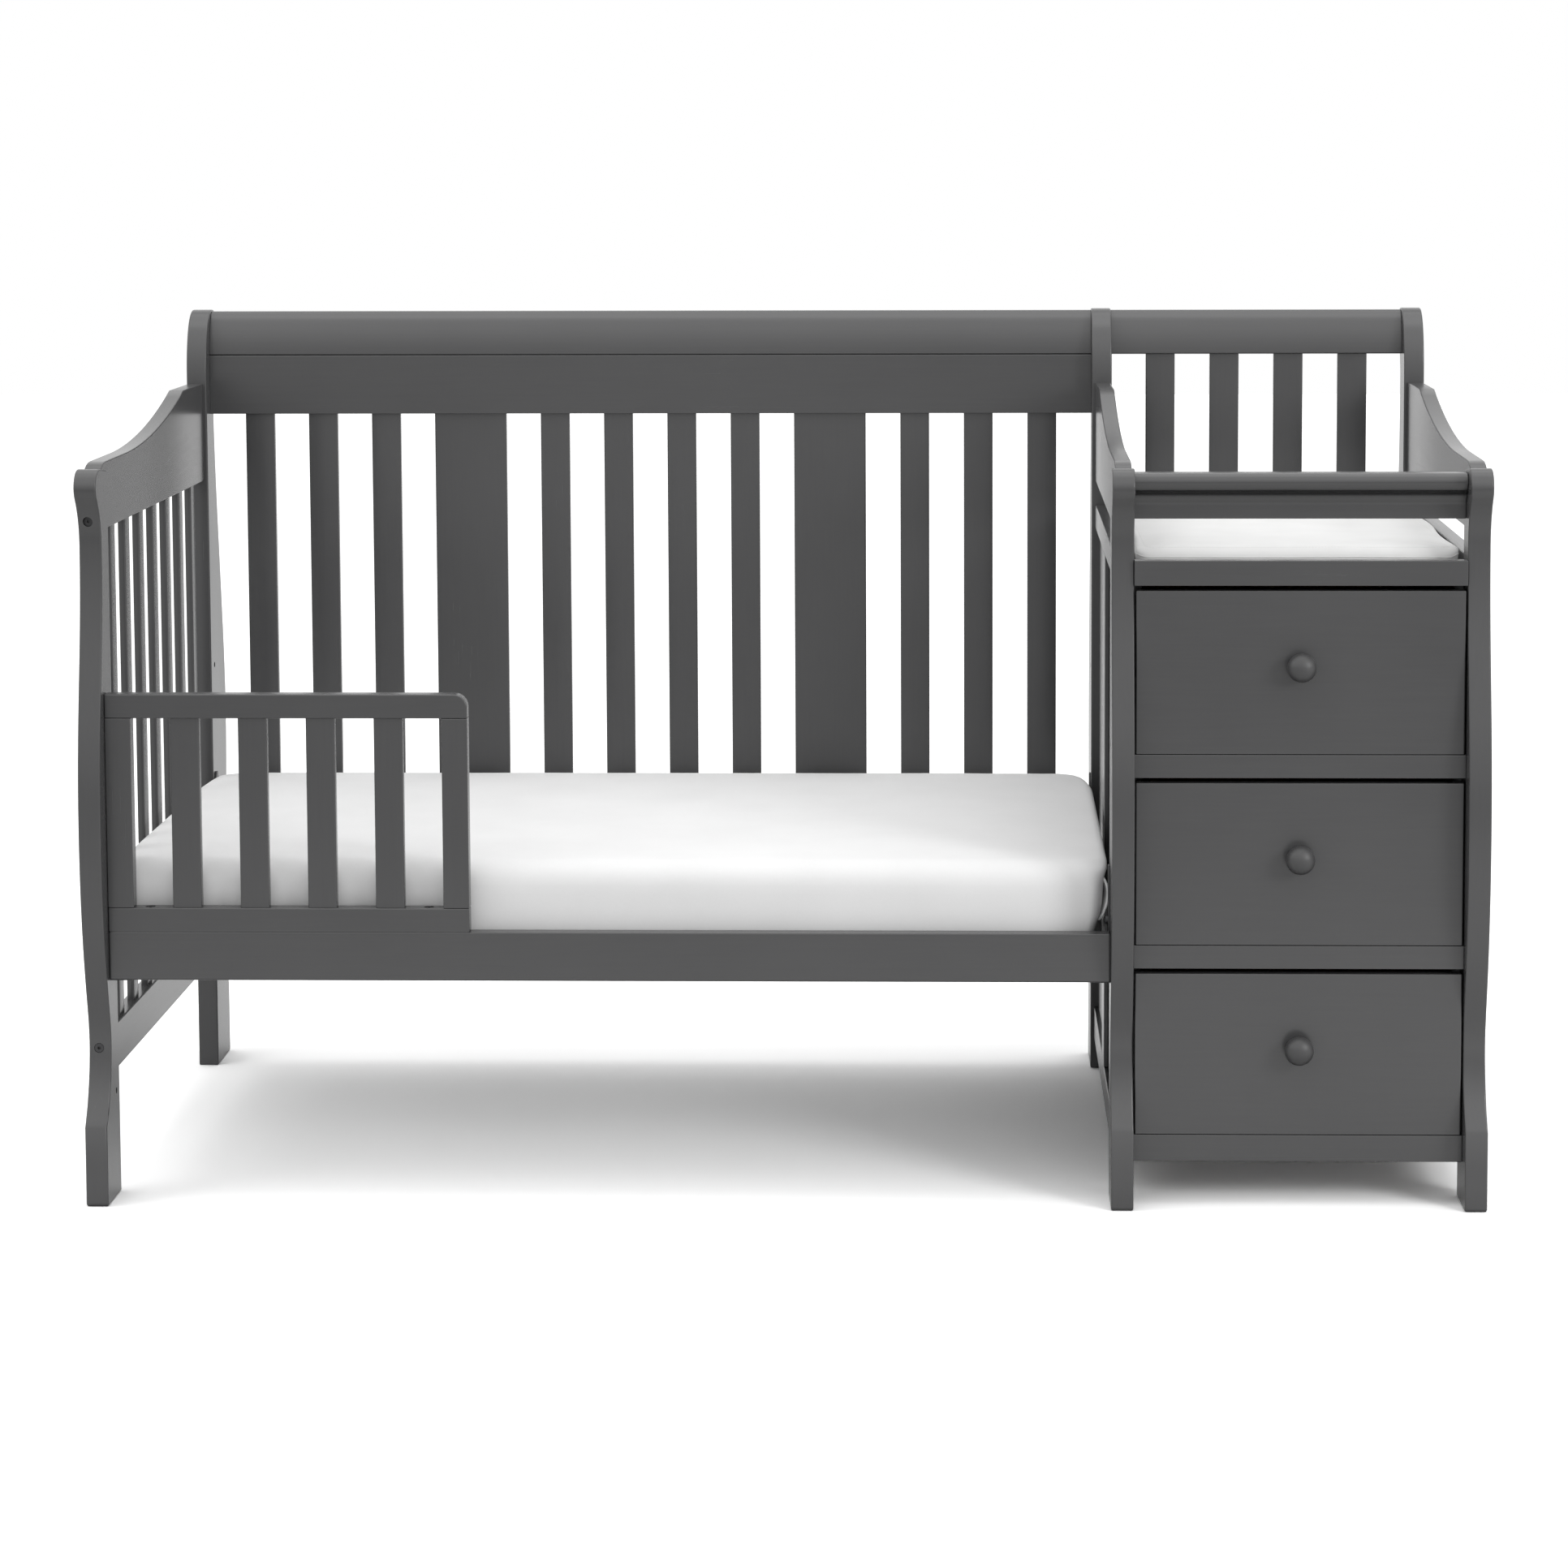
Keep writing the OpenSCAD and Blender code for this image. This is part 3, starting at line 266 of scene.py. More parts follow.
def slat_row_tree():
    """Slats spread evenly over a clear span; the fourth of every five may be a wide one."""
    tree = bpy.data.node_groups.new("slat_row", "GeometryNodeTree")
    for name, kind in {"Span": "Float", "Count": "Int", "Width": "Float", "Wide Width": "Float",
                       "Thickness": "Float", "Height": "Float", "Arris": "Float", "Turn": "Float",
                       "Start": "Vector", "Paint": "Material"}.items():
        tree.interface.new_socket(name, in_out="INPUT", socket_type="NodeSocket" + kind)
    tree.interface.new_socket("Slats", in_out="OUTPUT", socket_type="NodeSocketGeometry")
    wire = Wire(tree)
    group = tree.nodes.new("NodeGroupInput")
    size = {socket.name: Wire(tree, socket) for socket in group.outputs if socket.name}

    def slat(width):
        outline = wire.node("GeometryNodeCurvePrimitiveQuadrilateral", {}, {
            "Width": width, "Height": size["Thickness"]})
        outline = wire.node("GeometryNodeFilletCurve", {"mode": "POLY"}, {
            "Curve": outline, "Count": 4, "Radius": size["Arris"], "Limit Radius": True})
        top = wire.node("ShaderNodeCombineXYZ", {}, {"Z": size["Height"]})
        spine = wire.node("GeometryNodeCurvePrimitiveLine", {}, {"Start": (0, 0, 0), "End": top})
        solid = wire.node("GeometryNodeCurveToMesh", {}, {
            "Curve": spine, "Profile Curve": outline, "Fill Caps": True})
        return wire.node("GeometryNodeGeometryToInstance", {}, {"Geometry": solid})

    index = wire.node("GeometryNodeInputIndex")
    fourth = index.math("COMPARE", index.math("FLOORED_MODULO", index, 5), 3, 0.1)
    width = size["Width"] + fourth * (size["Wide Width"] - size["Width"])
    spread = tree.nodes.new("GeometryNodeAccumulateField")
    tree.links.new(width.socket, spread.inputs[0])
    before = Wire(tree, spread.outputs["Trailing"])
    total = Wire(tree, spread.outputs["Total"])
    gap = (size["Span"] - total) / (size["Count"] + 1)
    middle = gap * (index + 1) + before + width * 0.5
    points = wire.node("GeometryNodePoints", {}, {"Count": size["Count"]})
    points = wire.node("GeometryNodeSetPosition", {}, {
        "Geometry": points, "Position": wire.node("ShaderNodeCombineXYZ", {}, {"X": middle})})
    joined = tree.nodes.new("GeometryNodeJoinGeometry")
    for kind in (slat(size["Wide Width"]), slat(size["Width"])):
        tree.links.new(kind.socket, joined.inputs[0])
    pick = wire.node("FunctionNodeFloatToInt", {"rounding_mode": "ROUND"}, {0: fourth})
    row = wire.node("GeometryNodeInstanceOnPoints", {}, {
        "Points": points, "Instance": Wire(tree, joined.outputs[0]), "Pick Instance": True,
        "Instance Index": pick})
    row = wire.node("GeometryNodeRealizeInstances", {}, {0: row})
    turn = wire.node("ShaderNodeCombineXYZ", {}, {"Z": size["Turn"]})
    row = wire.node("GeometryNodeTransform", {}, {
        "Geometry": row, "Translation": size["Start"], "Rotation": turn})
    row = wire.node("GeometryNodeSetMaterial", {}, {"Geometry": row, "Material": size["Paint"]})
    tree.links.new(row.socket, tree.nodes.new("NodeGroupOutput").inputs[0])
    return tree


def grown(name, tree, sizes, path=None):
    """Runs a node tree on a path of points, and keeps the plain mesh that it makes."""
    mesh = bpy.data.meshes.new(name)
    if path:
        mesh.from_pydata(path, [(i, (i + 1) % len(path)) for i in range(len(path))], [])
    piece = bpy.data.objects.new(name, mesh)
    bpy.context.scene.collection.objects.link(piece)
    growth = piece.modifiers.new(name, "NODES")
    growth.node_group = tree
    for socket in tree.interface.items_tree:
        if socket.in_out == "INPUT" and socket.name in sizes:
            growth[socket.identifier] = sizes[socket.name]
    seen = piece.evaluated_get(bpy.context.evaluated_depsgraph_get())
    grown_mesh = bpy.data.meshes.new_from_object(seen)
    piece.modifiers.clear()
    piece.data = grown_mesh
    work = bmesh.new()
    work.from_mesh(grown_mesh)
    bmesh.ops.remove_doubles(work, verts=work.verts, dist=0.00001)
    bmesh.ops.recalc_face_normals(work, faces=work.faces)
    for face in work.faces:
        face.smooth = True
    for edge in work.edges:
        edge.smooth = edge.calc_face_angle(0) < math.radians(31)
    work.to_mesh(grown_mesh)
    work.free()
    return piece


slat_row = slat_row_tree()


def slats(node, count, width, wide=None, along="X"):
    """A row of slats over the CAD row's box, with as much clear at its ends as between them."""
    low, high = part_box(node)
    run, face = (0, 1) if along == "X" else (1, 0)
    wide = wide or width
    total = sum(wide if i % 5 == 3 else width for i in range(count))
    gap = (high[run] - low[run] - total) / (count - 1)
    start = [(low[0] + high[0]) / 2, (low[1] + high[1]) / 2, low[2]]
    start[run] = low[run] - gap
    row = grown(node + "_cut", slat_row, {
        "Span": high[run] - low[run] + 2 * gap, "Count": count, "Width": width,
        "Wide Width": wide, "Thickness": high[face] - low[face], "Height": high[2] - low[2],
        "Arris": 0.002, "Turn": 0.0 if along == "X" else math.pi / 2, "Start": start,
        "Paint": paint["Z"]})
    settle(row, node)


slats("left_slats", 7, 0.029, along="Y")

# ---- Changer's panels -------------------------------------------------------------
# Either side of the changer is a frame of rails and a centre stile, with two thin
# panels sunk in its grooves; the top rail repeats the left end's sweep above a slot.
FINE_ARRIS = 0.0014
for side in ("middle", "right"):
    eased_end(dressed(f"{side}_top_rail", paint["Y"]))
    dressed(f"{side}_table_rail", paint["Y"], FINE_ARRIS)
    dressed(f"{side}_foot_rail", paint["Y"], FINE_ARRIS)
    dressed(f"{side}_mullion", paint["Z"], FINE_ARRIS)
    dressed(f"{side}_sunk_panels", paint["Z"], arris=0.0004)

# ---- Backs ------------------------------------------------------------------------
# A moulded crown rail caps each back; under the crib's is a flat board, with a V line
# where the two are glued. Slats, two of them wide, are mortised down to a low rail.
CRISP_ARRIS = 0.0005
for name, arris in {"crib_crown_rail": CRISP_ARRIS, "crib_back_board": CRISP_ARRIS,
                    "changer_back_rail": FINE_ARRIS, "crib_back_bottom_rail": FINE_ARRIS,
                    "changer_crown_rail": 0.0008}.items():
    dressed(name, paint["X"], arris)
BACK_SLAT, WIDE_BACK_SLAT = 0.0432, 0.1073
slats("crib_back_slats", 12, BACK_SLAT, WIDE_BACK_SLAT)
slats("changer_back_slats", 4, BACK_SLAT)

# ---- Front rail and toddler guard ---------------------------------------------------
# The low rail ties the crib's posts together. The guard, a small frame of four slats
# with one rounded corner, is bolted down on it through its foot.
dressed("stabiliser_rail", paint["X"], arris=0.0030)
dressed("guard_top_rail", paint["X"])
dressed("guard_bottom_rail", paint["X"])
dressed("guard_stiles", paint["Z"], arris=0.0012)
slats("guard_slats", 4, 0.0379)


# ---- Mattress support ---------------------------------------------------------------
# Folded angle steel is welded into a rectangle and powder-coated. It carries a deck of
# zinc-plated wire and hangs from the posts by four folded straps.
def powder_coat():
    """Baked powder coat: nearly black, with a fine orange-peel skin."""
    material, shader, wire, place = new_finish("black_powder_coat")
    peel = wire.noise(place, 900, 2)
    clouds = wire.noise(place, 18, 2)
    clouds.between((0.012, 0.012, 0.013), (0.022, 0.022, 0.024)).feed(shader, "Base Color")
    (0.38 + clouds * 0.14).feed(shader, "Roughness")
    peel.bump(0.35, 0.00015).feed(shader, "Normal")
    return material


def zinc():
    """Bright zinc plating, drawn out along its length, with small cloudy spangles."""
    material, shader, wire, place = new_finish("bright_zinc")
    drawn = wire.noise(along_grain(place, "Y"), 700, 3)
    spangle = wire.node("ShaderNodeTexVoronoi", {}, {"Vector": place, "Scale": 240.0}, "Color")
    cloud = spangle.node("ShaderNodeSeparateColor", {}, {0: spangle})
    (cloud * 0.5 + drawn * 0.5).between((0.50, 0.51, 0.52), (0.68, 0.68, 0.69)).feed(
        shader, "Base Color")
    (0.27 + cloud * 0.16).feed(shader, "Roughness")
    drawn.bump(0.15, 0.00008).feed(shader, "Normal")
    shader.inputs["Metallic"].default_value = 1.0
    return material


black_steel = powder_coat()
bright_steel = zinc()
dressed("support_frame", black_steel, arris=0.0006)
dressed("support_wires", bright_steel, arris=0)
dressed("support_hangers", black_steel, arris=0.0006)

# ---- Changer's shelf and case -------------------------------------------------------
# The painted shelf, front rails, side boards and thin back make a case. A guard rail
# with the posts' small nose and hollow keeps the pad in front.
dressed("changing_shelf", paint["X"], arris=0.001)
for name in ("cabinet_top_rail", "cabinet_divider_rails", "cabinet_base_rail"):
    dressed(name, paint["X"], arris=0.0012)
table_guard = dressed("table_guard_rail", paint["X"], FINE_ARRIS)
rail_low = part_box("table_guard_rail")[0][2]
CUT_HEIGHTS, SANDED_HEIGHTS = (0.0, 0.0354, 0.0472, 0.0660), (0.0, 0.0235, 0.0438, 0.0615)
for vert in table_guard.data.vertices:
    # the hollow is sanded taller and the nose sits a little lower than it was cut
    above = vert.co.z - rail_low
    for start, end, lower, upper in zip(CUT_HEIGHTS, CUT_HEIGHTS[1:],
                                        SANDED_HEIGHTS, SANDED_HEIGHTS[1:]):
        if start - 1e-6 <= above <= end:
            vert.co.z = rail_low + lower + (above - start) * (upper - lower) / (end - start)
            break
BOARDS_STAND_BACK = 0.024
side_boards = dressed("cabinet_side_boards", paint["Z"], arris=0.0006)
boards_front = min(vert.co.y for vert in side_boards.data.vertices)
for vert in side_boards.data.vertices:
    # their front edges stand back in the dark behind the posts
    if vert.co.y < boards_front + 0.001:
        vert.co.y += BOARDS_STAND_BACK
dressed("cabinet_back", paint["Z"], CRISP_ARRIS)
dressed("fixed_runners", bright_steel, arris=0.0003)


# ---- Drawers ------------------------------------------------------------------------
# Each painted front is screwed to a plywood box with a grooved-in bottom, which runs
# on steel members screwed to its sides. A turned, painted ball knob has one screw.
def plywood(grain):
    """Clear-lacquered birch ply, its veneer's grain along one axis."""
    material, shader, wire, place = new_finish(f"lacquered_ply_along_{grain}")
    drawn = along_grain(place, grain, 0.06)
    rings = wire.noise(drawn, 26, 4, 0.6)
    pores = wire.noise(along_grain(place, grain, 0.02), 520, 2, 0.7)
    figure = rings.math("FRACT", rings * 7.0)
    shade = figure * 0.45 + pores * 0.35 + rings * 0.2
    shade.ramp(0.2, 0.8).between((0.47, 0.32, 0.18), (0.66, 0.50, 0.32)).feed(
        shader, "Base Color")
    (0.36 + pores * 0.22).feed(shader, "Roughness")
    (pores * 0.7 + figure * 0.3).bump(0.3, 0.0002).feed(shader, "Normal")
    return material


def backing():
    """Pale grey paper, faintly mottled, on the undersides of the drawers' bottoms."""
    material, shader, wire, place = new_finish("grey_paper_backing")
    mottle = wire.noise(place, 60, 3)
    mottle.between((0.40, 0.40, 0.41), (0.48, 0.48, 0.49)).feed(shader, "Base Color")
    wire.noise(place, 220, 2).ramp(-1.0, 1.4).feed(shader, "Roughness")
    return material


ply_deep, ply_wide, paper_backing = plywood("Y"), plywood("X"), backing()
# painted shade: the knobs wear a darker copy of the same grey, 0.72 as light, against the light
# their round tops catch
shaded_knob_paint = grey_paint("Y", duller=0.20, depth=0.72)
bottom_low, bottom_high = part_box("top_drawer_bottom")
MEMBERS_BESIDE = 0.0065


def on_the_runner(middle):
    """Whether a face of a drawer box belongs to the steel members beside it."""
    return (middle.x < bottom_low[0] - MEMBERS_BESIDE
            or middle.x > bottom_high[0] + MEMBERS_BESIDE)


def knob_profile(radius, length):
    """Radius and depth along a knob, from its flared foot over the ball to its crown."""
    neck, flare = 0.0080, 0.0045
    points = [(0.011, 0.0), (0.0106, -0.0004), (0.0095, -0.0012), (0.0084, -0.0026),
              (neck, -flare)]
    start = -math.acos(neck / radius)
    depth = (length - flare) / (1 - math.sin(start))
    for step in range(1, 33):
        angle = start + (math.pi / 2 - start) * step / 32
        points.append((radius * math.cos(angle), depth * (1 - math.sin(angle)) - length))
    return points


def turned(name, profile, centre, material, steps=72):
    """A shape turned about the Y axis from (radius, depth) points."""
    mesh = bpy.data.meshes.new(name)
    work = bmesh.new()
    rings = []
    for radius, depth in profile:
        if radius < 1e-6:
            rings.append([work.verts.new((centre[0], centre[1] + depth, centre[2]))])
            continue
        rings.append([work.verts.new((
            centre[0] + radius * math.cos(math.tau * i / steps), centre[1] + depth,
            centre[2] + radius * math.sin(math.tau * i / steps))) for i in range(steps)])
    for here, there in zip(rings, rings[1:]):
        for i in range(steps):
            corners = [here[i % len(here)], here[(i + 1) % len(here)],
                       there[(i + 1) % len(there)], there[i % len(there)]]
            work.faces.new(list(dict.fromkeys(corners)))
    if len(rings[0]) > 1:
        work.faces.new(rings[0])
    if len(rings[-1]) > 1:
        work.faces.new(rings[-1])
    bmesh.ops.recalc_face_normals(work, faces=work.faces)
    for face in work.faces:
        face.smooth = True
    for edge in work.edges:
        edge.smooth = edge.calc_face_angle(0) < math.radians(40)
    work.to_mesh(mesh)
    work.free()
    mesh.materials.append(material)
    piece = bpy.data.objects.new(name, mesh)
    bpy.context.scene.collection.objects.link(piece)
    return piece


SCREW = ((0.0, 0.0245), (0.0020, 0.0244), (0.0034, 0.0238), (0.0043, 0.0226), (0.0045, 0.0210),
         (0.0045, 0.0200), (0.0020, 0.0200), (0.0020, -0.002), (0.0, -0.002))
for level in ("top", "middle", "bottom"):
    dressed(f"{level}_drawer_front", paint["X"], FINE_ARRIS)
    dressed(f"{level}_drawer_box", ply_deep, arris=0.0008, second=(on_the_runner, bright_steel))
    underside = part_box(f"{level}_drawer_bottom")[0][2]
    dressed(f"{level}_drawer_bottom", ply_wide, arris=0,
            second=(lambda middle: middle.z < underside + 0.0005, paper_backing))
    low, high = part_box(f"{level}_drawer_knob")
    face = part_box(f"{level}_drawer_front")[0][1]
    centre = ((low[0] + high[0]) / 2, face, (low[2] + high[2]) / 2)
    profile = knob_profile((high[0] - low[0]) / 2, face - low[1])
    knob = turned(f"{level}_knob", profile, centre, shaded_knob_paint)
    settle(knob, f"{level}_drawer_knob")
    screw = turned(f"{level}_knob_screw", SCREW, centre, bright_steel, steps=32)
    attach(screw, f"{level}_drawer")

# ---- Bolts --------------------------------------------------------------------------
# Blackened hexagon-socket bolts sit in counterbores and pull the rails to the posts;
# two more hold the guard down.
dressed("frame_bolts", black_steel, arris=0)
dressed("guard_bolts", black_steel, arris=0)


# ---- Mattress -----------------------------------------------------------------------
# A foam mattress wears a white fitted sheet of combed cotton, pulled tight over the
# top and gathered under it by elastic. The sheet's slack lies in folds at the corners.
def cotton():
    """Plain-woven white cotton, with the weave's threads a third of a millimetre apart."""
    material, shader, wire, place = new_finish("white_cotton")
    x, y, z = place.vector("MULTIPLY", place, (9000.0, 9000.0, 9000.0)).split()
    weave = x.math("SINE", x) * y.math("SINE", y + z)
    slubs = wire.noise(place, 340, 3, 0.6)
    clouds = wire.noise(place, 9, 3)
    tone = (slubs * 0.3 + clouds * 0.7).ramp(0.25, 0.75)
    tone.between((0.81, 0.81, 0.81), (0.865, 0.865, 0.865)).feed(shader, "Base Color")
    (0.82 + slubs * 0.1).feed(shader, "Roughness")
    (weave * 0.3 + slubs * 0.5 + clouds * 2.0).bump(0.35, 0.0003).feed(shader, "Normal")
    shader.inputs["Sheen Weight"].default_value = 0.15
    shader.inputs["Specular IOR Level"].default_value = 0.25
    return material


white_cotton = cotton()


def soft_form(name, low, high, plan_r, end_r, side_r, cell):
    """A rounded slab with a grid of faces all round, closer near its edges.

    end_r rounds its edges at the two ends in X, side_r those at the two sides in Y.
    """
    size = [high[i] - low[i] for i in range(3)]
    middle = [(high[i] + low[i]) / 2 for i in range(3)]
    counts = [max(6, round(side / cell)) for side in size]
    work = bmesh.new()
    found = {}

    def corner(place):
        key = tuple(round(c, 6) for c in place)
        if key not in found:
            found[key] = work.verts.new(place)
        return found[key]

    def spread(step, count):
        share = step / count - 0.5
        return share + 0.075 * math.sin(math.tau * share)

    for axis in range(3):
        a, b = [i for i in range(3) if i != axis]
        for end in (-0.5, 0.5):
            for i in range(counts[a]):
                for j in range(counts[b]):
                    ring = []
                    for di, dj in ((0, 0), (1, 0), (1, 1), (0, 1)):
                        place = [0.0, 0.0, 0.0]
                        place[axis] = end * size[axis]
                        place[a] = spread(i + di, counts[a]) * size[a]
                        place[b] = spread(j + dj, counts[b]) * size[b]
                        ring.append(corner(place))
                    work.faces.new(ring)
    bmesh.ops.recalc_face_normals(work, faces=work.faces)
    for vert in work.verts:
        x, y, z = vert.co
        over_x = max(abs(x) - size[0] / 2 + plan_r, 0.0)
        over_y = max(abs(y) - size[1] / 2 + plan_r, 0.0)
        reach = max(over_x, over_y)
        if reach > 0:
            away = math.hypot(over_x, over_y)
            flat = Vector((math.copysign(over_x / away, x), math.copysign(over_y / away, y)))
            x += flat.x * reach - math.copysign(over_x, x)
            y += flat.y * reach - math.copysign(over_y, y)
            edge_r = end_r * flat.x ** 2 + side_r * flat.y ** 2
            over_z = abs(z) - size[2] / 2 + edge_r
            over_s = edge_r - plan_r + reach
            if over_z > 0 and over_s > 0:
                away = math.hypot(over_z, over_s)
                reach = max(over_z, over_s)
                z = math.copysign(abs(z) - over_z + over_z / away * reach, z)
                slide = over_s / away * reach - over_s
                x += flat.x * slide
                y += flat.y * slide
        vert.co = (x + middle[0], y + middle[1], z + middle[2])
    mesh = bpy.data.meshes.new(name)
    work.to_mesh(mesh)
    work.free()
    piece = bpy.data.objects.new(name, mesh)
    bpy.context.scene.collection.objects.link(piece)
    return piece


def moulded(piece, shape):
    """Moves every point of a form to where shape puts it."""
    for vert in piece.data.vertices:
        vert.co = shape(vert.co.copy())


def puffed(piece, cap, pressure, held, stiffness=15.0):
    """Blows a soft form up as cloth, then lets no point move further than cap.

    held gives, for a point, how firmly it stays: 1 where it is pinned, 0 where it is free.
    """
    start = [vert.co.copy() for vert in piece.data.vertices]
    pins = piece.vertex_groups.new(name="held")
    for vert in piece.data.vertices:
        pins.add([vert.index], held(vert.co), "REPLACE")
    cloth = piece.modifiers.new("puff", "CLOTH")
    cloth.settings.use_pressure = True
    cloth.settings.uniform_pressure_force = pressure
    cloth.settings.effector_weights.gravity = 0
    cloth.settings.tension_stiffness = stiffness
    cloth.settings.compression_stiffness = stiffness
    cloth.settings.bending_stiffness = 0.6
    cloth.settings.quality = 5
    cloth.settings.vertex_group_mass = "held"
    cloth.collision_settings.use_collision = False
    scene = bpy.context.scene
    for number in range(1, 21):
        scene.frame_set(number)
    seen = piece.evaluated_get(bpy.context.evaluated_depsgraph_get())
    moved = [vert.co.copy() for vert in seen.to_mesh().vertices]
    seen.to_mesh_clear()
    piece.modifiers.remove(cloth)
    piece.vertex_groups.clear()
    scene.frame_set(1)
    for vert, old, new in zip(piece.data.vertices, start, moved):
        step = new - old
        if step.length > 1e-9:
            step *= cap * (1 - math.exp(-step.length / cap)) / step.length
        vert.co = old + step


def smooth_shaded(piece, material):
    """Covers a form in one material and shades it smooth."""
    piece.data.materials.clear()
    piece.data.materials.append(material)
    for face in piece.data.polygons:
        face.use_smooth = True


def surface_of(piece):
    """Finds the nearest point of a finished form to any point."""
    mesh = piece.data
    return BVHTree.FromPolygons([vert.co for vert in mesh.vertices],
                                [face.vertices for face in mesh.polygons])


def eased(value, start, end):
    """0 before start and 1 after end, with a soft change between."""
    share = min(1.0, max(0.0, (value - start) / (end - start)))
    return share * share * (3 - 2 * share)


# a folded flap's section, in widths to either side of its fold and behind it
FLAP_SECTION = ((-0.9, 18.0), (-0.2, 1.6), (-0.4, 0.9), (-0.36, 0.25), (0, 0),
                (0.36, 0.25), (0.4, 0.9), (0.2, 1.6), (0.9, 18.0))


def add_pleat(piece, ridge, inward, width):
    """Joins a pleat to a form: a folded flap of cloth with its fold along ridge.

    inward points from the fold into the form; width is the doubled cloth's.
    """
    path = [Vector(point) for point in ridge]
    for _ in range(3):
        finer = []
        for a, b in zip(path, path[1:]):
            finer += [a.lerp(b, 0.25), a.lerp(b, 0.75)]
        path = [path[0]] + finer + [path[-1]]
    inward = Vector(inward).normalized()
    work = bmesh.new()
    work.from_mesh(piece.data)
    before = set(work.faces)
    rings = []
    for i, place in enumerate(path):
        ahead = (path[min(i + 1, len(path) - 1)] - path[max(i - 1, 0)]).normalized()
        across = ahead.cross(inward).normalized()
        rings.append([work.verts.new(place + across * width * side + inward * width * deep)
                      for side, deep in FLAP_SECTION])
    count = len(FLAP_SECTION)
    for here, there in zip(rings, rings[1:]):
        for k in range(count):
            after = (k + 1) % count
            work.faces.new((here[k], here[after], there[after], there[k]))
    work.faces.new(rings[0])
    work.faces.new(rings[-1])
    bmesh.ops.recalc_face_normals(work, faces=[face for face in work.faces if face not in before])
    work.to_mesh(piece.data)
    work.free()


low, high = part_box("mattress")
half_x, half_y = (high[0] - low[0]) / 2, (high[1] - low[1]) / 2
mid_x, mid_y = (high[0] + low[0]) / 2, (high[1] + low[1]) / 2
SHEET_R = 0.062
REAR_CORNER, FRONT_CORNER = (0.149, 0.041), (0.020, 0.020)


def mattress_shape(p):
    """Crowns the top, fills the sides under it and draws the corners in towards the foot."""
    u = (p.x - mid_x) / half_x
    v = (p.y - mid_y) / half_y
    down = high[2] - p.z
    up = 1 - down / (high[2] - low[2])
    near_x = eased(abs(p.x - mid_x), half_x - 0.11, half_x - 0.005)
    near_y = eased(abs(p.y - mid_y), half_y - 0.17, half_y - 0.07)
    corner = near_x * near_y
    # the plan's round corners become elliptical ones, long at the back
    from_end = half_y - abs(p.y - mid_y)
    along, across = REAR_CORNER if v > 0 else FRONT_CORNER
    cut = max(0.0, SHEET_R - from_end)
    wide = min(1.0, max(0.0, 1 - from_end / along))
    bulge = (SHEET_R - math.sqrt(max(0.0, SHEET_R ** 2 - cut ** 2))
             - across * (1 - math.sqrt(max(0.0, 1 - wide ** 2))))
    out_x, out_y = math.copysign(1.0, u), math.copysign(1.0, v)
    p.x += out_x * bulge * eased(abs(p.x - mid_x), half_x - 0.125, half_x - 0.060)
    # the sides are fullest just under the top, and the corners are drawn in twice
    full = 0.0030 * math.exp(-((down - 0.014) / 0.034) ** 2)
    side = noise.noise(Vector((p.x * 11, p.z * 6, p.y * 11))) * 0.0012
    drawn = 0.0070 * eased(down, 0.007, 0.026) + 0.012 * eased(down, 0.058, 0.105)
    p.x += out_x * (abs(u) ** 9 * full - corner * drawn)
    p.y += out_y * (abs(v) ** 9 * (full * 0.4 + side * (1 - up * up)) - corner * drawn * 0.25)
    if up > 0.4:
        pull = noise.noise(Vector((p.x * 7, p.y * 9, 3.1))) * 0.0010
        drag = noise.noise(Vector((p.x * 24 + p.y * 18, p.y * 5, 8.7))) * 0.0010 * corner
        crown = 0.0022 * (1 - u ** 8) * (1 - v ** 6)
        p.z += (crown + pull * (1 - abs(u) ** 8) * (1 - abs(v) ** 8) + drag) * up
    return p


mattress = soft_form("mattress_in_its_sheet", low, high,
                     plan_r=SHEET_R, end_r=0.010, side_r=0.032, cell=0.0098)
moulded(mattress, mattress_shape)
puffed(mattress, cap=0.0018, pressure=4.0, held=lambda p: 1.0 if p.z < low[2] + 0.004 else 0.0)
# a fold's points: out from the end, in from the side, and down from the top
FOLD = ((-0.0080, 0.020, 0.0190), (-0.0045, 0.016, 0.0220), (-0.0004, 0.014, 0.0310),
        (0.0012, 0.013, 0.0414), (0.0002, 0.013, 0.0522), (-0.0030, 0.014, 0.0630),
        (-0.0070, 0.016, 0.0737), (-0.0115, 0.021, 0.0790))
# how far each corner's fold stands back from the mattress's end
FOLD_STANDS_BACK = {(-1, -1): 0.0035, (-1, 1): 0.024, (1, -1): 0.0, (1, 1): 0.024}
for (sign_x, sign_y), back in FOLD_STANDS_BACK.items():
    crest = [(mid_x + sign_x * (half_x + out - back), mid_y + sign_y * (half_y - along),
              high[2] - down) for out, along, down in FOLD]
    add_pleat(mattress, crest, inward=(-sign_x * 0.20, -sign_y, 0.0), width=0.0040)
smooth_shaded(mattress, white_cotton)
settle(mattress, "mattress")


# ---- Changing pad -------------------------------------------------------------------
# A foam pad in a wipe-clean white cover lies on the shelf. A corded piping is sewn in
# round its top and its foot, and the cover has drawn it into gentle waves.
def wipe_clean():
    """Soft coated cloth: even and white, with a small leathery dimple."""
    material, shader, wire, place = new_finish("wipe_clean_cover")
    dimples = wire.node("ShaderNodeTexVoronoi", {}, {"Vector": place, "Scale": 900.0}, "Distance")
    clouds = wire.noise(place, 14, 3)
    clouds.ramp(0.3, 0.7).between((0.79, 0.79, 0.785), (0.835, 0.835, 0.83)).feed(
        shader, "Base Color")
    (0.46 + clouds * 0.14).feed(shader, "Roughness")
    (dimples * 0.5 + clouds * 2.0).bump(0.25, 0.0003).feed(shader, "Normal")
    shader.inputs["Specular IOR Level"].default_value = 0.35
    return material


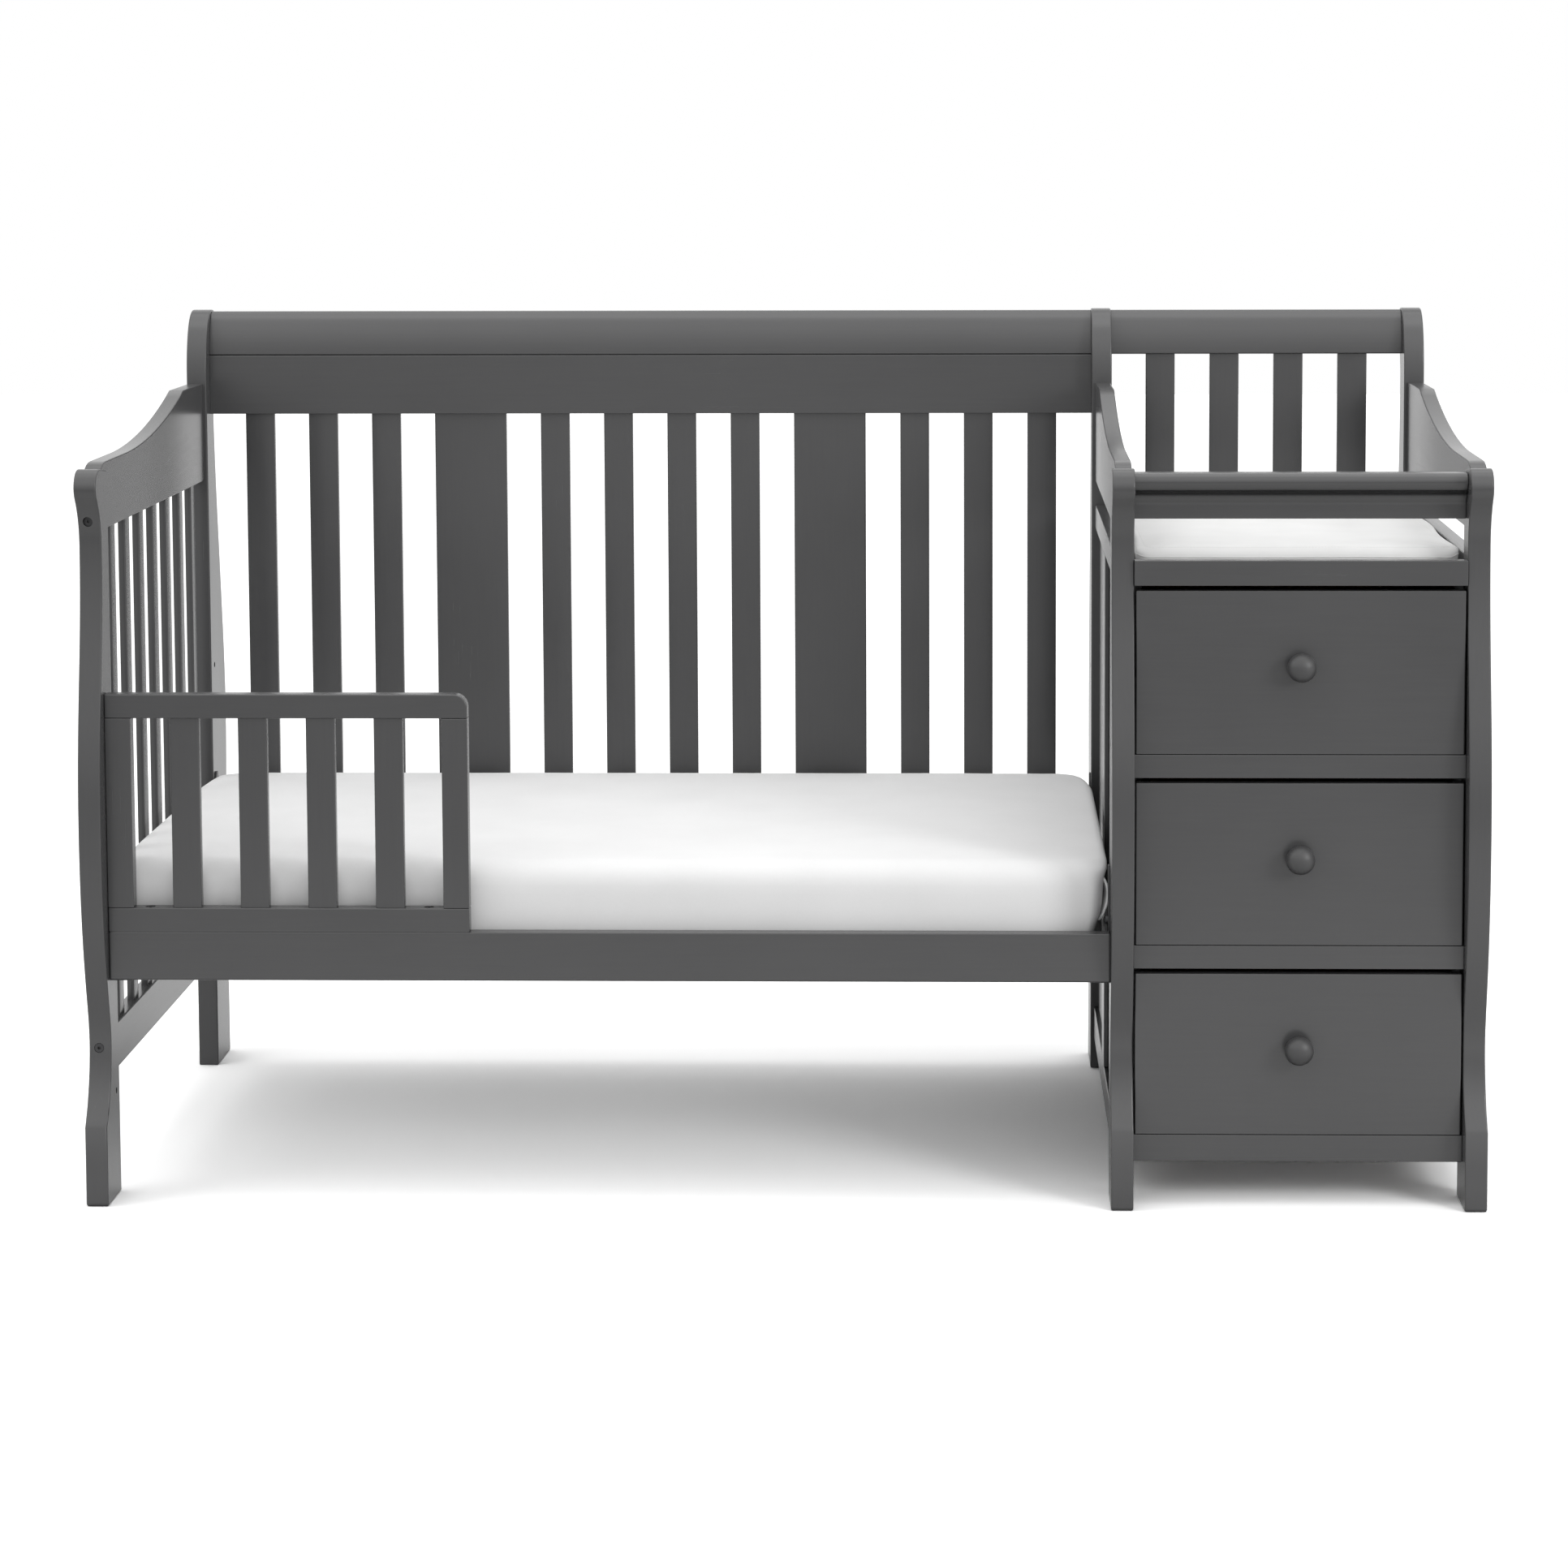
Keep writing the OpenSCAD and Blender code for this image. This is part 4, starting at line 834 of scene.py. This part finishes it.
def rounded_loop(low, high, radius, step):
    """Points round a rectangle with rounded corners, about step apart."""
    corners = []
    for x, y, start in ((high[0] - radius, low[1] + radius, -90),
                        (high[0] - radius, high[1] - radius, 0),
                        (low[0] + radius, high[1] - radius, 90),
                        (low[0] + radius, low[1] + radius, 180)):
        for part in range(9):
            angle = math.radians(start + 90 * part / 8)
            corners.append(Vector((x + radius * math.cos(angle), y + radius * math.sin(angle))))
    loop = []
    for a, b in zip(corners, corners[1:] + corners[:1]):
        count = max(1, round((b - a).length / step))
        loop += [a.lerp(b, part / count) for part in range(count)]
    return loop


def cord_tree():
    """A round cord that follows the path it is grown on."""
    tree = bpy.data.node_groups.new("corded_piping", "GeometryNodeTree")
    for name, kind in {"Path": "Geometry", "Radius": "Float", "Cover": "Material"}.items():
        tree.interface.new_socket(name, in_out="INPUT", socket_type="NodeSocket" + kind)
    tree.interface.new_socket("Cord", in_out="OUTPUT", socket_type="NodeSocketGeometry")
    wire = Wire(tree)
    group = tree.nodes.new("NodeGroupInput")
    path, radius, cover = (Wire(tree, group.outputs[name]) for name in ("Path", "Radius", "Cover"))
    line = wire.node("GeometryNodeMeshToCurve", {}, {0: path})
    outline = wire.node("GeometryNodeCurvePrimitiveCircle", {}, {
        "Resolution": 8, "Radius": radius})
    cord = wire.node("GeometryNodeCurveToMesh", {}, {"Curve": line, "Profile Curve": outline})
    cord = wire.node("GeometryNodeRealizeInstances", {}, {0: cord})
    cord = wire.node("GeometryNodeSetMaterial", {}, {"Geometry": cord, "Material": cover})
    tree.links.new(cord.socket, tree.nodes.new("NodeGroupOutput").inputs[0])
    return tree


def stitch_tree():
    """Small oblong stitches, evenly spaced along the path they are grown on."""
    tree = bpy.data.node_groups.new("stitches", "GeometryNodeTree")
    for name, kind in {"Path": "Geometry", "Spacing": "Float", "Length": "Float",
                       "Thickness": "Float", "Thread": "Material"}.items():
        tree.interface.new_socket(name, in_out="INPUT", socket_type="NodeSocket" + kind)
    tree.interface.new_socket("Stitches", in_out="OUTPUT", socket_type="NodeSocketGeometry")
    wire = Wire(tree)
    group = tree.nodes.new("NodeGroupInput")
    size = {socket.name: Wire(tree, socket) for socket in group.outputs if socket.name}
    line = wire.node("GeometryNodeMeshToCurve", {}, {0: size["Path"]})
    steps = tree.nodes.new("GeometryNodeCurveToPoints")
    steps.mode = "LENGTH"
    tree.links.new(line.socket, steps.inputs["Curve"])
    tree.links.new(size["Spacing"].socket, steps.inputs["Length"])
    bead = wire.node("GeometryNodeMeshUVSphere", {}, {"Segments": 6, "Rings": 5, "Radius": 1.0})
    shape = wire.node("ShaderNodeCombineXYZ", {}, {
        "X": size["Thickness"], "Y": size["Thickness"], "Z": size["Length"] * 0.5})
    bead = wire.node("GeometryNodeTransform", {}, {"Geometry": bead, "Scale": shape})
    row = wire.node("GeometryNodeInstanceOnPoints", {}, {
        "Points": Wire(tree, steps.outputs["Points"]), "Instance": bead,
        "Rotation": Wire(tree, steps.outputs["Rotation"])})
    row = wire.node("GeometryNodeRealizeInstances", {}, {0: row})
    row = wire.node("GeometryNodeSetMaterial", {}, {"Geometry": row, "Material": size["Thread"]})
    tree.links.new(row.socket, tree.nodes.new("NodeGroupOutput").inputs[0])
    return tree


def pad_shape(p):
    """Lets the cover's edges wave and its top slope out to the seam round its side."""
    u = (p.x - pad_x) / pad_half_x
    v = (p.y - pad_y) / pad_half_y
    up = max(0.0, (p.z - low[2]) / (high[2] - low[2]))
    long_wave = 0.5 - 0.5 * math.cos(math.tau * (p.y - low[1]) / 0.297)
    short_wave = 0.5 - 0.5 * math.cos(math.tau * (p.x - low[0] - 0.05) / 0.24)
    near_x = eased(abs(u), 0.80, 1.0)
    near_y = eased(abs(v), 0.93, 1.0)
    slope = max(near_x, near_y)
    p.x += math.copysign(1.0, u) * (0.0030 - 0.0050 * long_wave) * near_x
    p.z -= (0.0012 * near_x + 0.0060 * near_y + 0.0010 * short_wave * near_y) * up
    p.z += noise.noise(Vector((p.x * 13, p.y * 10, 5.3))) * 0.0010 * up * (1 - slope)
    return p


wipe_cover = wipe_clean()
low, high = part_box("changing_pad")
pad_half_x, pad_half_y = (high[0] - low[0]) / 2, (high[1] - low[1]) / 2
pad_x, pad_y = (high[0] + low[0]) / 2, (high[1] + low[1]) / 2
pad = soft_form("pad_in_its_cover", low, high,
                plan_r=0.020, end_r=0.0035, side_r=0.0125, cell=0.0055)
moulded(pad, pad_shape)
puffed(pad, cap=0.0015, pressure=4.0, held=lambda p: 1.0 if p.z < low[2] + 0.002 else 0.0)
smooth_shaded(pad, wipe_cover)
settle(pad, "changing_pad")
cover = surface_of(pad)
corded_piping, stitches = cord_tree(), stitch_tree()
for name, inset, z, radius in (("rim", -0.004, high[2] - 0.0105, 0.0008),
                               ("foot", 0.0040, low[2] - 0.0005, 0.0016)):
    loop = rounded_loop((low[0] + inset, low[1] + inset), (high[0] - inset, high[1] - inset),
                        radius=0.018, step=0.009)
    path = [cover.find_nearest(Vector((*point, z)))[0] for point in loop]
    path = [place + Vector((0, 0, radius if name == "foot" else 0)) for place in path]
    piping = grown(f"pad_{name}_piping", corded_piping,
                   {"Radius": radius, "Cover": wipe_cover}, path)
    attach(piping, "changing_pad")
inset = 0.0105
inner = rounded_loop((low[0] + inset, low[1] + inset), (high[0] - inset, high[1] - inset),
                     radius=0.014, step=0.008)
path = [cover.find_nearest(Vector((*point, high[2] + 0.01)))[0] for point in inner]
thread = grown("pad_stitches", stitches, {
    "Spacing": 0.0042, "Length": 0.0030, "Thickness": 0.00035, "Thread": wipe_cover}, path)
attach(thread, "changing_pad")

# ---- Room ---------------------------------------------------------------------------
# A wide white floor and a white surround, brightest overhead, with a large soft lamp
# above, a smaller one at the right front and a weak one at the left. The floor is white
# to the camera where no shadow falls, and keeps the furniture's shadow.
floor_mesh = bpy.data.meshes.new("floor")
reach = 14
floor_mesh.from_pydata(
    [(-reach, -reach, 0), (reach, -reach, 0), (reach, reach, 0), (-reach, reach, 0)], [],
    [(0, 1, 2, 3)])
floor = bpy.data.objects.new("floor", floor_mesh)
bpy.context.scene.collection.objects.link(floor)
white_floor = bpy.data.materials.new("white_floor")
white_floor.use_nodes = True
room = Wire(white_floor.node_tree)
FLOOR_SEEN, FLOOR_LIT_BY = 1.48, 0.62
MIRRORED_IN_FRONT, MIRRORED_MORE_BEHIND = 0.62, 0.58
depth = room.node("ShaderNodeTexCoord", output="Object").split()[1]
mirrored = MIRRORED_IN_FRONT + depth.ramp(-4.0, -1.0) * MIRRORED_MORE_BEHIND
seen_directly = room.node("ShaderNodeLightPath", output="Is Camera Ray")
in_a_gloss = room.node("ShaderNodeLightPath", output="Is Glossy Ray")
tone = (FLOOR_LIT_BY + seen_directly * (FLOOR_SEEN - FLOOR_LIT_BY)
        + in_a_gloss * (mirrored - FLOOR_LIT_BY))
tone = room.node("ShaderNodeCombineXYZ", {}, {"X": tone, "Y": tone, "Z": tone})
matt = room.node("ShaderNodeBsdfDiffuse", {}, {"Color": tone})
matt.feed(white_floor.node_tree.nodes["Material Output"], "Surface")
floor_mesh.materials.append(white_floor)

world = bpy.data.worlds.new("white_surround")
bpy.context.scene.world = world
world.use_nodes = True
sky = Wire(world.node_tree)
seen, in_gloss, through = (sky.node("ShaderNodeLightPath", output=f"Is {ray} Ray")
                           for ray in ("Camera", "Glossy", "Transmission"))
rearward, upward = sky.node("ShaderNodeTexCoord", output="Generated").split()[1:]
shown_white = sky.math("MAXIMUM", sky.math("MAXIMUM", seen, in_gloss), through)
AT_THE_HORIZON, MORE_OVERHEAD = 0.56, 0.50
lights = AT_THE_HORIZON + sky.math("MAXIMUM", upward, 0.0) * MORE_OVERHEAD
forward = 1.0 - rearward.ramp(-0.35, 0.1)
shown = 1.0 + in_gloss * (0.16 + forward * (0.06 + upward.ramp(0.1, 0.5) * 0.85))
(lights + shown_white * (shown - lights)).feed(world.node_tree.nodes["Background"], "Strength")
world.node_tree.nodes["Background"].inputs["Color"].default_value = (1, 1, 1, 1)


def soft_lamp(name, place, aim, width, length, power):
    """A rectangular lamp at place, turned to aim and unseen by the camera."""
    lamp = bpy.data.objects.new(name, bpy.data.lights.new(name, "AREA"))
    bpy.context.scene.collection.objects.link(lamp)
    lamp.location = place
    lamp.rotation_euler = (Vector(aim) - Vector(place)).to_track_quat("-Z", "Y").to_euler()
    lamp.data.shape = "RECTANGLE"
    lamp.data.size = width
    lamp.data.size_y = length
    lamp.data.energy = power
    lamp.visible_camera = False


soft_lamp("overhead_lamp", (0.0, 0.15, 3.4), (0.0, 0.05, 0.0), width=3.2, length=2.4, power=30)
soft_lamp("right_front_lamp", (3.2, -2.8, 1.9), (0.4, -0.2, 0.6), width=1.2, length=1.2, power=46)
soft_lamp("left_fill_lamp", (-2.9, -1.0, 2.7), (0.3, 0.0, 0.5), width=1.8, length=1.8, power=16)
bpy.context.scene.view_settings.view_transform = "Standard"
